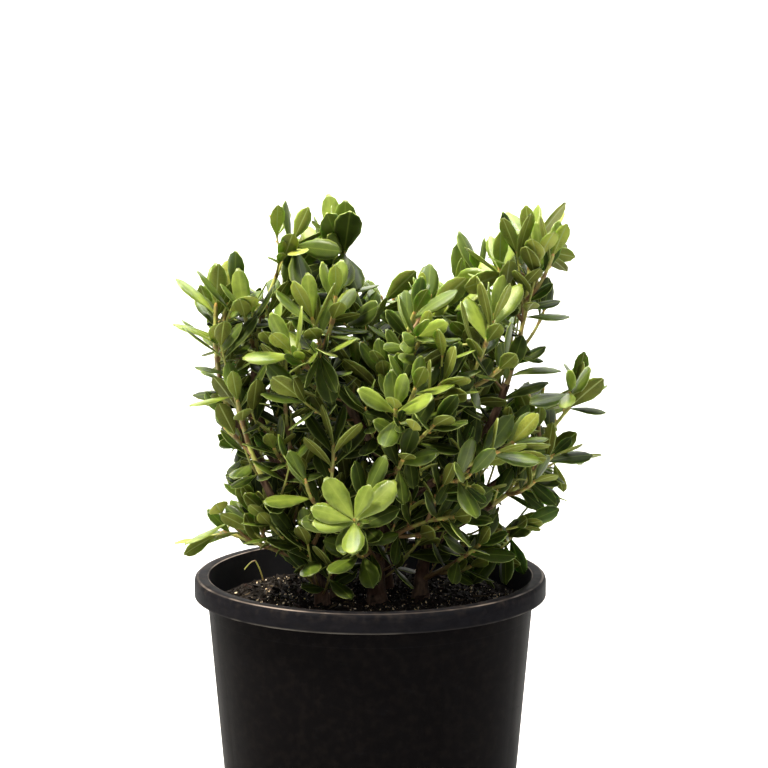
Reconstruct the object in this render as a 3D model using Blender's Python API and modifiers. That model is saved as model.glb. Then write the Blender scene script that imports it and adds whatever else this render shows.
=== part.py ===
"""Potted boxwood shrub: a young, loose, many-stemmed plant in a round nursery pot.

Metres, +Z up. The origin is the centre of the pot's flat underside, and -Y is the front.
Five woody stems rise from the potting mix. Boughs leave them, and each bough's shoot carries
one mass of foliage: a leader, its side twigs and opposite leaves, grown by one seeded rule.
"""
import functools
import itertools
import math
import random

import bmesh
import bpy
from mathutils import Matrix, Vector
from mathutils.bvhtree import BVHTree
from mathutils.geometry import intersect_point_line

MM = 0.001
UP = Vector((0.0, 0.0, 1.0))
PLUMB_LIMIT = 1e-3          # a heading this near to upright has no level side of its own
GAP = 0.3 * MM              # clearance between neighbouring pieces
OBJECT_NAME = "potted_boxwood_shrub"

# ---------------------------------------------------------------- pot and potting mix
POT_HEIGHT = 132 * MM
RIM_RADIUS = 70 * MM
RIM_SKIRT = 7.6 * MM        # height of the rolled rim's outer band
RIM_ROUND = 1.9 * MM
LIP_ROUND = 0.65 * MM       # half the wall, rounded over at the inner lip
WALL_TOP_RADIUS = 65.5 * MM
BASE_RADIUS = 54.5 * MM
BASE_ROUND = 2.0 * MM
WALL = 1.3 * MM
FLOOR = 1.6 * MM
TURN_STEPS = 36
LIP_STEPS = 2
RIM_STEPS = 3
BASE_STEPS = 2
MERGE = 0.001 * MM          # corners closer than this are one
TURN_MERGE = 0.01 * MM
FUSE_MERGE = 0.0005 * MM
DRAINS = 8
DRAIN_WIDTH = 9 * MM
DRAIN_HEIGHT = 7 * MM
DRAIN_REACH = 8 * MM        # how far a drain slot runs in under the floor's edge
MIX_EDGE = 119.5 * MM       # the mix's height at the wall
MIX_CROWN = 3.0 * MM        # how much higher it stands in the middle

# ---------------------------------------------------------------- stems and boughs
STEM_FLARE = 0.5            # extra radius at the foot, as a share
FLARE_HEIGHT = 6 * MM
FOOT_HEIGHT = 2 * MM        # the foot rises plumb this far, so its cut is level
STEM_BEND = 0.55            # a stem rises plumb towards this share of its height, then leans
LIMB_BEND = 0.5             # and a bough keeps its first heading for this share of its reach
STEM_RINGS = 5
BOUGH_FOOT_RADIUS = 1.9 * MM
BOUGH_TIP_RADIUS = 1.4 * MM
BOUGH_RINGS = 3
STEM_SIDES_LEVEL = 2        # bevel resolution: 8 sides
BOUGH_SIDES_LEVEL = 1       # 6 sides
STEM_SHELL_SIDES = 8
LIMB_SHELL_SIDES = 6
SHARP_ANGLE = 40            # degrees between faces from which their edge is drawn sharp
FOOT_CHECKS = 12            # points round a limb's foot that are kept off the stem
FOOT_STEP = 0.1 * MM

# name: foot x and y, tip x, y and z, foot radius, tip radius, all in millimetres
STEMS = {
    "trunk": ((2.5, -10), (6, -9, 190), 3.1, 1.9),
    "left_stem": ((-13, -4), (-31, -5, 172), 2.5, 1.9),
    "left_front_stem": ((-19, -14), (-27, -17, 148), 2.4, 1.9),
    "right_stem": ((20, -4), (35, -6, 172), 2.6, 1.9),
    "back_stem": ((6, 17), (6, 28, 172), 2.6, 1.9),
}

# ---------------------------------------------------------------- foliage
LEADER_RADIUS = 1.25 * MM
TWIG_RADIUS = 1.0 * MM
SHOOT_TIP_RADIUS = 0.8 * MM
TWIG_SIDES = 3
LEADER_RINGS = 5
TWIG_RINGS = 3
LEAF_LENGTH = 23.5 * MM
LEAF_WIDTH_SHARE = 0.42
LEAF_THICKNESS = 0.42 * MM
LEAF_ROOT_HALF = 0.36 * MM
LEAF_KEEL = 0.22 * MM       # how far the leaf's root reaches under its axis
LEAF_WIDEST = 0.58          # share of the length at which the leaf is widest
LEAF_END_WIDTH = 0.42       # width of the blunt end, as a share
LEAF_CUP = 0.16             # how far the blade's edges drop, as a share of its half width
LEAF_CLEAR = 0.2 * MM       # kept round every leaf and limb, so twice this between two
INTERNODE = 11 * MM
TIP_GAPS = (0.6 * MM, 3.4 * MM, 6.4 * MM, 8.4 * MM)    # pairs crowd towards a shoot's tip
PAIR_SIZES = (0.74, 1.0, 1.08, 1.05, 1.0, 0.94)         # from the tip pair down the shoot
PAIR_ANGLES = (13, 31, 47, 57, 63, 66)                  # degrees between leaf and shoot
QUARTER_TURN = 90           # each pair stands across the last
INTERNODE_SPREAD = (0.85, 1.15)
PAIR_SPREAD = (0.84, 1.12)  # sizes vary from pair to pair, and a little within a pair
LEAF_SPREAD = (0.93, 1.07)
CURLS = (0.03, 0.19)        # how far a blade's tip drops, as a share of its length
PAIR_SWAY = 9               # degrees by which a pair's angle varies
LEAF_SWAY = 6               # and each leaf's own
ROLL_SWAY = 14              # how far a leaf strays round the shoot, and its blade turns
FIRST_LEAF = 14 * MM        # from a bough's tip to its mass's first leaves
BARE_SHARE = 0.36           # leafless share of a mass that leaves its stem with no bough
TWIG_BARE_SHARE = 0.45
SKY_PULL = 0.25             # how far a blade turns its face up from the shoot's own sense
SPREAD = 38 * MM            # half width of a mass's own space, round its leader
POT_CLEAR = 1.5 * MM        # kept between foliage and the pot or the mix
ROOT_SHARE = 0.05           # a leaf is kept clear of other masses from this share of its length
BLADE_SHARE = 0.17          # and of its own mass from this one
TWIG_ROOT_SHARE = 0.25      # a twig may meet its own mass up to here
TWIG_LEAF_SCALE = 0.92
TWIG_SEED_STEP = 1000
TWIG_TURN = 37              # degrees that each twig's leaves are turned on from the last's
GOLDEN_ANGLE = 137.5
FORK_START = 0.08           # the leafy leader's share at which its side twigs begin
FORK_SPAN = 0.62            # and the share that they are spread over
FORK_PLACES = (0.15, 0.85)  # where in its own stretch a twig stands
FORK_SWAY = 20
FORK_ANGLES = (42, 60)
TWIG_SPREAD = (0.8, 1.15)
TWIG_SHORTENING = 0.25      # how much shorter the highest twigs are
TWIG_BEND = 0.45
TWIG_END_MIX = (0.45, 0.45, 0.3)    # a twig ends between its start, its leader and upright
# degrees round the shoot, degrees opened and scale that a leaf tries in turn until it fits
TRIES = ((0, 0, 1.0), (16, 6, 0.97), (-16, -6, 0.94), (30, 12, 0.88), (-30, -12, 0.8))

# name: stem, share of its length, tip in millimetres, start pitch in degrees, bare share of the
# limb (its bough), side twigs, their length in millimetres, leaf scale, seed
SHOOTS = {
    "tall_left": ("left_stem", 1.0, (-30, 1, 265), 80, 0.45, 2, 24, 1.0, 22),
    "top_mid": ("back_stem", 1.0, (-14, 19, 264), 80, 0.42, 2, 24, 1.0, 309),
    "top_right": ("right_stem", 1.0, (63, 5, 263), 80, 0.42, 3, 26, 1.05, 151),
    "left_outer": ("left_stem", 0.74, (-60, -8, 240), 38, 0.45, 2, 24, 1.0, 104),
    "far_right": ("right_stem", 0.58, (80, -1, 201), 30, 0.42, 2, 22, 0.95, 209),
    "left_low": ("left_front_stem", 0.62, (-56, -16, 152), 20, 0.0, 2, 20, 1.0, 358),
    "left_inner": ("left_stem", 0.88, (-53, 16, 231), 32, 0.48, 1, 20, 1.0, 2),
    "left_mid": ("left_front_stem", 1.0, (-52, -15, 203), 50, 0.5, 2, 20, 0.95, 337),
    "left_lower": ("left_stem", 0.5, (-47, 17, 180), 35, 0.0, 2, 20, 0.95, 299),
    "centre_right": ("trunk", 1.0, (17, -16, 238), 70, 0.38, 2, 22, 1.0, 206),
    "centre_left": ("trunk", 0.86, (-22, -26, 237), 50, 0.42, 2, 22, 1.0, 129),
    "centre": ("back_stem", 0.88, (-2, 2, 229), 50, 0.38, 1, 20, 0.95, 88),
    "right_upper_back": ("right_stem", 0.86, (44, 23, 249), 40, 0.48, 2, 22, 0.95, 192),
    "right_mid": ("trunk", 0.9, (47, -27, 236), 22, 0.42, 2, 20, 1.0, 148),
    "right_back": ("right_stem", 0.7, (58, 37, 210), 25, 0.45, 2, 20, 0.9, 53),
    "right_lower": ("right_stem", 0.48, (71, -11, 181), 25, 0.42, 2, 20, 0.9, 85),
    "right_front": ("trunk", 0.5, (48, -41, 188), 35, 0.45, 2, 22, 0.95, 90),
    "right_droop": ("right_stem", 0.4, (64, 17, 165), 30, 0.45, 1, 18, 0.9, 178),
    "right_low": ("right_stem", 0.28, (55, 6, 148), 20, 0.0, 1, 18, 0.9, 88),
    "front_low": ("trunk", 0.24, (-9, -49, 167), 30, 0.0, 2, 18, 1.1, 310),
    "centre_low_right": ("trunk", 0.32, (32, -36, 162), 35, 0.0, 2, 18, 0.95, 283),
    "base_right": ("right_stem", 0.14, (42, -31, 150), 25, 0.0, 1, 14, 0.8, 252),
    "centre_front": ("trunk", 0.78, (17, -39, 212), 50, 0.42, 2, 20, 1.0, 90),
    "left_mid_small": ("left_stem", 0.66, (-32, -20, 225), 50, 0.0, 1, 18, 0.9, 310),
    "mid_right_front": ("trunk", 0.64, (24, -44, 199), 45, 0.0, 1, 20, 0.95, 321),
    "mid_left_front": ("left_front_stem", 0.8, (-14, -33, 189), 45, 0.0, 1, 20, 0.95, 259),
    "back_left": ("back_stem", 0.76, (-35, 50, 222), 45, 0.45, 2, 22, 1.05, 2),
    "back_mid": ("back_stem", 0.66, (9, 51, 228), 50, 0.45, 2, 22, 1.05, 387),
    "back_right": ("back_stem", 0.56, (38, 51, 221), 45, 0.45, 2, 22, 1.05, 214),
    "back_low_left": ("back_stem", 0.4, (-41, 56, 170), 30, 0.35, 1, 20, 1.05, 344),
    "back_low_right": ("back_stem", 0.32, (36, 59, 172), 30, 0.35, 1, 20, 1.05, 395),
}

COLOURS = {
    "pot_plastic": ((0.012, 0.012, 0.014), 0.38),
    "potting_mix": ((0.045, 0.026, 0.016), 0.95),
    "box_bark": ((0.21, 0.155, 0.095), 0.85),
    "box_foliage": ((0.085, 0.2, 0.03), 0.42),
}


# ---------------------------------------------------------------- paths
class Path:
    """A limb's axis: a quadratic curve, read by its length, with a side that never twists."""

    STEPS = 24

    def __init__(self, start, bend, end):
        self.points = []
        self.headings = []
        for i in range(self.STEPS + 1):
            t = i / self.STEPS
            self.points.append(start * (1 - t) ** 2 + bend * (2 * t * (1 - t)) + end * t ** 2)
            self.headings.append(((bend - start) * (1 - t) + (end - bend) * t).normalized())
        self.run = [0.0]
        for a, b in zip(self.points, self.points[1:]):
            self.run.append(self.run[-1] + (b - a).length)
        self.length = self.run[-1]
        side = self.headings[0].cross(UP)
        if side.length < PLUMB_LIMIT:
            side = Vector((1.0, 0.0, 0.0))
        self.sides = [side.normalized()]
        for heading in self.headings[1:]:
            last = self.sides[-1]
            self.sides.append((last - heading * last.dot(heading)).normalized())

    def at(self, distance):
        """Point, heading and side at a distance along the path."""
        distance = min(max(distance, 0.0), self.length)
        i = 0
        while i < self.STEPS - 1 and self.run[i + 1] < distance:
            i += 1
        share = (distance - self.run[i]) / (self.run[i + 1] - self.run[i])
        heading = self.headings[i].lerp(self.headings[i + 1], share).normalized()
        side = self.sides[i].lerp(self.sides[i + 1], share)
        side = (side - heading * side.dot(heading)).normalized()
        return self.points[i].lerp(self.points[i + 1], share), heading, side

    def along(self, start, end, count):
        """count + 1 points, evenly spaced from start to end."""
        return [self.at(start + (end - start) * i / count)[0] for i in range(count + 1)]

    def nearest(self, point):
        """Distance from a point to the path, and the share of the path where that is."""
        best = (math.inf, 0.0)
        for i in range(self.STEPS):
            start, end = self.points[i], self.points[i + 1]
            share = min(max(intersect_point_line(point, start, end)[1], 0.0), 1.0)
            distance = (point - start.lerp(end, share)).length
            best = min(best, (distance, blend(self.run[i], self.run[i + 1], share) / self.length))
        return best


def turned(vector, axis, degrees):
    return Matrix.Rotation(math.radians(degrees), 3, axis) @ vector


def blend(a, b, share):
    return a + (b - a) * share


# ---------------------------------------------------------------- stems and limbs
def mix_height(radius):
    """Height of the potting mix at a distance from the pot's axis."""
    share = radius / pot_inner_radius(MIX_EDGE)
    return MIX_EDGE + MIX_CROWN * (1 - share ** 2)


@functools.cache
def stem_path(name):
    foot, tip, foot_radius, _ = STEMS[name]
    foot = Vector((foot[0] * MM, foot[1] * MM, 0.0))
    inward = max(foot.length - foot_radius * (1 + STEM_FLARE) * MM, 0.0)
    foot.z = mix_height(inward) + GAP
    tip = Vector(tip) * MM
    return Path(foot, foot + UP * (tip.z - foot.z) * STEM_BEND, tip)


def stem_radius(name, share):
    foot_radius, tip_radius = (r * MM for r in STEMS[name][2:4])
    flare = STEM_FLARE * math.exp(-share * stem_path(name).length / FLARE_HEIGHT)
    return blend(foot_radius, tip_radius, share) * (1 + flare)


def foot_clear(stem, stem_axis, start, heading, radius):
    """Whether a limb's flat foot, centred at start, keeps its gap to the stem's skin."""
    side = heading.orthogonal().normalized() * radius
    for i in range(FOOT_CHECKS):
        edge = start + turned(side, heading, 360 * i / FOOT_CHECKS)
        distance, share = stem_axis.nearest(edge)
        if distance < stem_radius(stem, share) + GAP:
            return False
    return True


def limb_path(shoot):
    """From the stem's skin, or on from its tip, to the tip of the shoot."""
    stem, share, tip, pitch, bare = shoot[:5]
    stem_axis = stem_path(stem)
    tip = Vector(tip) * MM
    origin, heading, _ = stem_axis.at(stem_axis.length * share)
    start = origin + heading * GAP
    if share < 1.0:
        level = Vector((tip.x - origin.x, tip.y - origin.y, 0.0)).normalized()
        heading = level * math.cos(math.radians(pitch)) + UP * math.sin(math.radians(pitch))
        radius = BOUGH_FOOT_RADIUS if bare else LEADER_RADIUS
        while not foot_clear(stem, stem_axis, start, heading, radius):
            start = start + heading * FOOT_STEP
    return Path(start, start + heading * (tip - start).length * LIMB_BEND, tip)


def tube_object(name, points, radii, sides_level, material, collection):
    """A tapering round limb with flat ends."""
    data = bpy.data.curves.new(name, "CURVE")
    data.dimensions = "3D"
    data.bevel_depth = MM
    data.bevel_resolution = sides_level
    data.use_fill_caps = True
    spline = data.splines.new("POLY")
    spline.points.add(len(points) - 1)
    for knot, point, radius in zip(spline.points, points, radii):
        knot.co = (*point, 1.0)
        knot.radius = radius / MM
    guide = bpy.data.objects.new(name + "_axis", data)
    collection.objects.link(guide)
    evaluated = guide.evaluated_get(bpy.context.evaluated_depsgraph_get())
    mesh = bpy.data.meshes.new_from_object(evaluated)
    bpy.data.objects.remove(guide)
    weld(mesh)
    mesh.name = name
    return finished_object(name, mesh, material, collection)


def weld(mesh):
    """Joins doubled corners and turns all faces outwards."""
    shape = bmesh.new()
    shape.from_mesh(mesh)
    bmesh.ops.remove_doubles(shape, verts=shape.verts, dist=MERGE)
    bmesh.ops.recalc_face_normals(shape, faces=shape.faces)
    shape.to_mesh(mesh)
    shape.free()


def finished_object(name, mesh, material, collection):
    mesh.materials.clear()
    mesh.materials.append(material)
    mesh.shade_smooth()
    mesh.set_sharp_from_angle(angle=math.radians(SHARP_ANGLE))
    obj = bpy.data.objects.new(name, mesh)
    collection.objects.link(obj)
    return obj


def make_stem(name, material, collection):
    path = stem_path(name)
    plumb = path.points[0] + UP * FOOT_HEIGHT
    points = [path.points[0], plumb] + path.along(2 * FOOT_HEIGHT, path.length, STEM_RINGS - 1)
    shares = [0, FOOT_HEIGHT / path.length]
    shares += [blend(2 * FOOT_HEIGHT / path.length, 1, i / (STEM_RINGS - 1)) for i in range(STEM_RINGS)]
    radii = [stem_radius(name, share) for share in shares]
    return tube_object(name, points, radii, STEM_SIDES_LEVEL, material, collection)


def make_bough(name, path, end, material, collection):
    points = path.along(0.0, end, BOUGH_RINGS)
    radii = [blend(BOUGH_FOOT_RADIUS, BOUGH_TIP_RADIUS, i / BOUGH_RINGS) for i in range(BOUGH_RINGS + 1)]
    return tube_object(name, points, radii, BOUGH_SIDES_LEVEL, material, collection)


# ---------------------------------------------------------------- foliage: the rule
def tube_shell(points, radii, sides):
    """Corners and faces of a closed tube of few sides."""
    corners = []
    faces = []
    side = (points[1] - points[0]).orthogonal()
    last = len(points) - 1
    for i, (point, radius) in enumerate(zip(points, radii)):
        heading = (points[min(i + 1, last)] - points[max(i - 1, 0)]).normalized()
        side = (side - heading * side.dot(heading)).normalized()
        across = heading.cross(side)
        for k in range(sides):
            turn = 2 * math.pi * k / sides
            corners.append(point + (side * math.cos(turn) + across * math.sin(turn)) * radius)
    for i in range(last):
        for k in range(sides):
            a = i * sides + k
            b = i * sides + (k + 1) % sides
            faces.append((a, b, b + sides, a + sides))
    faces.append(tuple(reversed(range(sides))))
    faces.append(tuple(last * sides + k for k in range(sides)))
    return corners, faces


class Leaf:
    """One blade: its root on the shoot's axis, where it points and where its upper face looks."""

    def __init__(self, root, heading, face, length, curl):
        self.root = root
        self.heading = heading
        self.face = face
        self.across = heading.cross(face).normalized()
        self.length = length
        self.half = length * LEAF_WIDTH_SHARE / 2
        self.curl = curl

    def point(self, along, across, above=0.0):
        """along and across as shares of the length and half width, above the face in metres."""
        drop = self.length * self.curl * along ** 2 + self.half * LEAF_CUP * across ** 2
        flat = self.root + self.heading * (along * self.length) + self.across * (across * self.half)
        return flat + self.face * (above - drop)

    def tip(self):
        return self.point(1.0, 0.0)

    def shell(self, clear=0.0, start=0.0):
        """Corners and faces of the solid blade; clear swells it and start leaves its root out."""
        wide = 1 + clear / self.half
        foot = (LEAF_ROOT_HALF + clear) / self.half
        end = LEAF_END_WIDTH + clear / self.half
        reach = 1 + clear / self.length
        top = LEAF_THICKNESS + clear
        corners = [
            self.point(start, -foot, -LEAF_KEEL - clear), self.point(start, foot, -LEAF_KEEL - clear),
            self.point(start, 0, top),
            self.point(LEAF_WIDEST, -wide, -clear), self.point(LEAF_WIDEST, wide, -clear),
            self.point(LEAF_WIDEST, 0, top),
            self.point(reach, -end, -clear), self.point(reach, end, -clear),
        ]
        faces = [
            (0, 1, 4, 3), (3, 4, 7, 6), (0, 3, 5, 2), (1, 2, 5, 4),
            (3, 6, 5), (5, 6, 7), (4, 5, 7), (0, 2, 1),
        ]
        return corners, faces


class Crowd:
    """All that has grown so far, and whether a new piece would touch any of it."""

    def __init__(self):
        self.items = []

    @staticmethod
    def ball(corners):
        centre = sum(corners, Vector()) / len(corners)
        return centre, max((corner - centre).length for corner in corners)

    def add(self, corners, faces, owner):
        self.items.append((*self.ball(corners), BVHTree.FromPolygons(corners, faces), owner))

    def touches(self, corners, faces, among):
        """Whether the piece touches any item whose owner passes the test named among."""
        centre, radius = self.ball(corners)
        tree = None
        for other_centre, other_radius, other, owner in self.items:
            if (other_centre - centre).length > radius + other_radius or not among(owner):
                continue
            tree = tree or BVHTree.FromPolygons(corners, faces)
            if tree.overlap(other):
                return True
        return False


def clear_of_pot(points):
    """Whether all points keep clear of the mix and of the pot's rim."""
    for point in points:
        radius = math.hypot(point.x, point.y)
        if point.z < mix_height(min(radius, RIM_RADIUS)) + POT_CLEAR:
            return False
        over_rim = radius > pot_inner_radius(POT_HEIGHT) - POT_CLEAR
        if over_rim and point.z < POT_HEIGHT + POT_CLEAR:
            return False
    return True


def limb_crowd(limbs):
    """Every stem, bough and leader, which all twigs and leaves keep clear of."""
    crowd = Crowd()
    for name in STEMS:
        path = stem_path(name)
        points = path.along(0.0, path.length, STEM_RINGS)
        radii = [stem_radius(name, i / STEM_RINGS) + LEAF_CLEAR for i in range(STEM_RINGS + 1)]
        crowd.add(*tube_shell(points, radii, STEM_SHELL_SIDES), ("", name))
    for name, (path, end) in limbs.items():
        if end > 0:
            points = path.along(0.0, end, BOUGH_RINGS)
            radii = [BOUGH_FOOT_RADIUS + LEAF_CLEAR] * (BOUGH_RINGS + 1)
            crowd.add(*tube_shell(points, radii, LIMB_SHELL_SIDES), ("", name + "_bough"))
        points = path.along(end, path.length, LEADER_RINGS)
        radii = [LEADER_RADIUS + LEAF_CLEAR] * (LEADER_RINGS + 1)
        crowd.add(*tube_shell(points, radii, LIMB_SHELL_SIDES), (name, 0))
    return crowd


def side_twigs(path, start, shoot, roll, chance):
    """Twigs from the leader's leaf axils, a golden angle apart, shorter towards its tip."""
    count, length = shoot[5], shoot[6] * MM
    twigs = []
    for i in range(count):
        share = FORK_START + FORK_SPAN * (i + chance.uniform(*FORK_PLACES)) / count
        root, heading, side = path.at(start + (path.length - start) * share)
        out = turned(side, heading, roll + GOLDEN_ANGLE * i + chance.uniform(-FORK_SWAY, FORK_SWAY))
        fork = math.radians(chance.uniform(*FORK_ANGLES))
        first = (heading * math.cos(fork) + out * math.sin(fork)).normalized()
        reach = length * chance.uniform(*TWIG_SPREAD) * (1 - TWIG_SHORTENING * i / count)
        mix = TWIG_END_MIX
        last = (first * mix[0] + heading * mix[1] + UP * mix[2]).normalized()
        bend = root + first * reach * TWIG_BEND
        twigs.append(Path(root, bend, bend + last * reach * (1 - TWIG_BEND)))
    return twigs


def leaf_places(path, start, roll, scale, chance):
    """Opposite pairs, each a quarter turn from the last, counted from the tip down the shoot."""
    places = []
    distance = path.length
    for pair in itertools.count():
        last = min(pair, len(PAIR_SIZES) - 1)
        if pair < len(TIP_GAPS):
            distance -= TIP_GAPS[pair]
        else:
            distance -= INTERNODE * chance.uniform(*INTERNODE_SPREAD)
        if distance <= start:
            return places
        size = LEAF_LENGTH * scale * PAIR_SIZES[last] * chance.uniform(*PAIR_SPREAD)
        angle = PAIR_ANGLES[last] + chance.uniform(-PAIR_SWAY, PAIR_SWAY)
        for opposite in (0, 180):
            around = roll + QUARTER_TURN * pair + opposite
            places.append({
                "pair": pair,
                "distance": distance,
                "around": around + chance.uniform(-ROLL_SWAY, ROLL_SWAY),
                "lean": angle + chance.uniform(-LEAF_SWAY, LEAF_SWAY),
                "length": size * chance.uniform(*LEAF_SPREAD),
                "twist": chance.uniform(-ROLL_SWAY, ROLL_SWAY),
                "curl": chance.uniform(*CURLS),
            })


def leaf_at(path, place, swing, open_up, shrink):
    root, heading, side = path.at(place["distance"])
    out = turned(side, heading, place["around"] + swing)
    lean = math.radians(place["lean"] + open_up)
    points = (heading * math.cos(lean) + out * math.sin(lean)).normalized()
    face = (heading * math.sin(lean) - out * math.cos(lean)) * (1 - SKY_PULL) + UP * SKY_PULL
    face = turned((face - points * face.dot(points)).normalized(), points, place["twist"])
    return Leaf(root, points, face, place["length"] * shrink, place["curl"])


def leaf_fits(name, leaf, path, number, crowd):
    """Whether a leaf stays in its mass's space, clear of the pot, of limbs and of every leaf."""
    corners, faces = leaf.shell(LEAF_CLEAR, ROOT_SHARE)
    if path.nearest(leaf.tip())[0] > SPREAD or not clear_of_pot(corners):
        return False
    if crowd.touches(corners, faces, lambda owner: owner[0] != name):
        return False
    blade = leaf.shell(LEAF_CLEAR, BLADE_SHARE)
    return not crowd.touches(*blade, lambda owner: owner[0] == name and owner != (name, number))


def grow_mass(name, shoot, path, start, crowd):
    """Side twigs, then leaves from every tip down; what would touch or stray is skipped."""
    scale, seed = shoot[7:]
    chance = random.Random(seed)
    roll = chance.uniform(0, 180)
    leafless = start + FIRST_LEAF if start else path.length * BARE_SHARE
    twigs = [(0, path, leafless)]
    for number, twig in enumerate(side_twigs(path, start, shoot, roll, chance), 1):
        radii = [TWIG_RADIUS + LEAF_CLEAR] * (TWIG_RINGS + 1)
        whole = tube_shell(twig.along(0.0, twig.length, TWIG_RINGS), radii, LIMB_SHELL_SIDES)
        body = twig.along(TWIG_ROOT_SHARE * twig.length, twig.length, TWIG_RINGS)
        free = tube_shell(body, radii, LIMB_SHELL_SIDES)
        if not clear_of_pot(body) or crowd.touches(*whole, lambda owner: owner[0] != name):
            continue
        if not crowd.touches(*free, lambda owner: owner[0] == name):
            crowd.add(*whole, (name, number))
            twigs.append((number, twig, TWIG_BARE_SHARE * twig.length))
    places = []
    for number, twig, bare in twigs:
        size = scale * (TWIG_LEAF_SCALE if number else 1)
        chance = random.Random(TWIG_SEED_STEP * seed + number)
        for place in leaf_places(twig, bare, roll + TWIG_TURN * number, size, chance):
            places.append((number, twig, place))
    places.sort(key=lambda item: item[2]["pair"])
    leaves = []
    for number, twig, place in places:
        for attempt in TRIES:
            leaf = leaf_at(twig, place, *attempt)
            if leaf_fits(name, leaf, path, number, crowd):
                crowd.add(*leaf.shell(LEAF_CLEAR, ROOT_SHARE), (name, number, len(leaves)))
                leaves.append(leaf)
                break
    return twigs, leaves


# ---------------------------------------------------------------- foliage: the solids
def shell_object(name, corners, faces, collection):
    mesh = bpy.data.meshes.new(name)
    mesh.from_pydata(corners, [], faces)
    weld(mesh)
    obj = bpy.data.objects.new(name, mesh)
    collection.objects.link(obj)
    return obj


def make_mass(name, path, start, twigs, leaves, material, collection):
    """The leader, its twigs and its leaves, fused into one solid by one union."""
    pieces = bpy.data.collections.new(name + "_pieces")
    bpy.context.scene.collection.children.link(pieces)
    first = start + GAP if start else 0.0
    points = path.along(first, path.length, LEADER_RINGS)
    radii = [blend(LEADER_RADIUS, SHOOT_TIP_RADIUS, i / LEADER_RINGS) for i in range(LEADER_RINGS + 1)]
    body = shell_object(name, *tube_shell(points, radii, TWIG_SIDES), collection)
    for number, twig, _ in twigs[1:]:
        points = twig.along(0.0, twig.length, TWIG_RINGS)
        radii = [blend(TWIG_RADIUS, SHOOT_TIP_RADIUS, i / TWIG_RINGS) for i in range(TWIG_RINGS + 1)]
        shell_object("%s_twig_%d" % (name, number), *tube_shell(points, radii, TWIG_SIDES), pieces)
    for number, leaf in enumerate(leaves):
        shell_object("%s_leaf_%d" % (name, number), *leaf.shell(), pieces)
    union = body.modifiers.new("fuse", "BOOLEAN")
    union.operation = "UNION"
    union.operand_type = "COLLECTION"
    union.collection = pieces
    for solver in ("EXACT", "MANIFOLD"):
        union.solver = solver
        evaluated = body.evaluated_get(bpy.context.evaluated_depsgraph_get())
        mesh = bpy.data.meshes.new_from_object(evaluated)
        if keep_largest(mesh):
            break
    for piece in list(pieces.objects):
        bpy.data.objects.remove(piece)
    bpy.data.collections.remove(pieces)
    bpy.data.objects.remove(body)
    return finished_object(name, mesh, material, collection)


def keep_largest(mesh):
    """Drops loose scraps and sealed hollows; says whether the one skin left is closed."""
    shape = bmesh.new()
    shape.from_mesh(mesh)
    bmesh.ops.remove_doubles(shape, verts=shape.verts, dist=FUSE_MERGE)
    islands = []
    seen = set()
    for face in shape.faces:
        if face in seen:
            continue
        island = [face]
        seen.add(face)
        for member in island:
            for edge in member.edges:
                for neighbour in edge.link_faces:
                    if neighbour not in seen:
                        seen.add(neighbour)
                        island.append(neighbour)
        islands.append(island)
    islands.sort(key=len)
    for island in islands[:-1]:
        bmesh.ops.delete(shape, geom=island, context="FACES")
    bmesh.ops.delete(shape, geom=[v for v in shape.verts if not v.link_faces], context="VERTS")
    closed = all(len(edge.link_faces) == 2 for edge in shape.edges)
    shape.to_mesh(mesh)
    shape.free()
    return closed


# ---------------------------------------------------------------- pot and mix
def pot_outer_radius(height):
    return blend(BASE_RADIUS, WALL_TOP_RADIUS, height / POT_HEIGHT)


def pot_inner_radius(height):
    return pot_outer_radius(height) - WALL


def arc(centre_radius, centre_height, radius, first, last, steps):
    """Profile points on an arc, between two angles in degrees from the outward level."""
    points = []
    for i in range(steps + 1):
        angle = math.radians(blend(first, last, i / steps))
        points.append((centre_radius + radius * math.cos(angle), centre_height + radius * math.sin(angle)))
    return points


def pot_profile():
    """From the floor's middle up the inside, over the rolled rim and down the outside."""
    skirt_end = POT_HEIGHT - RIM_SKIRT
    skirt_inside = RIM_RADIUS - WALL
    lip = pot_inner_radius(POT_HEIGHT) + LIP_ROUND
    under_rim = POT_HEIGHT - WALL
    profile = [(0.0, FLOOR), (pot_inner_radius(FLOOR), FLOOR)]
    profile += arc(lip, POT_HEIGHT - LIP_ROUND, LIP_ROUND, 180, 90, LIP_STEPS)
    profile += arc(RIM_RADIUS - RIM_ROUND, POT_HEIGHT - RIM_ROUND, RIM_ROUND, 90, 0, RIM_STEPS)
    profile += [(RIM_RADIUS, skirt_end), (skirt_inside, skirt_end), (skirt_inside, under_rim - WALL)]
    profile += [(pot_outer_radius(under_rim), under_rim - WALL)]
    profile += arc(BASE_RADIUS - BASE_ROUND, BASE_ROUND, BASE_ROUND, 0, -90, BASE_STEPS)
    profile += [(0.0, 0.0)]
    return profile


def mix_profile():
    bottom = FLOOR + GAP
    edge = pot_inner_radius(MIX_EDGE) - GAP
    profile = [(radius, mix_height(radius)) for radius in (0.0, edge / 2, edge)]
    return profile + [(pot_inner_radius(bottom) - GAP, bottom), (0.0, bottom)]


def turned_object(name, profile, material, collection):
    """A profile in the XZ plane, turned once round Z."""
    mesh = bpy.data.meshes.new(name)
    corners = [(radius, 0.0, height) for radius, height in profile]
    mesh.from_pydata(corners, [(i, i + 1) for i in range(len(corners) - 1)], [])
    mesh.materials.append(material)
    obj = bpy.data.objects.new(name, mesh)
    collection.objects.link(obj)
    turn = obj.modifiers.new("turn", "SCREW")
    turn.axis = "Z"
    turn.steps = TURN_STEPS
    turn.render_steps = TURN_STEPS
    turn.use_merge_vertices = True
    turn.merge_threshold = TURN_MERGE
    turn.use_smooth_shade = True
    return obj


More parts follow.
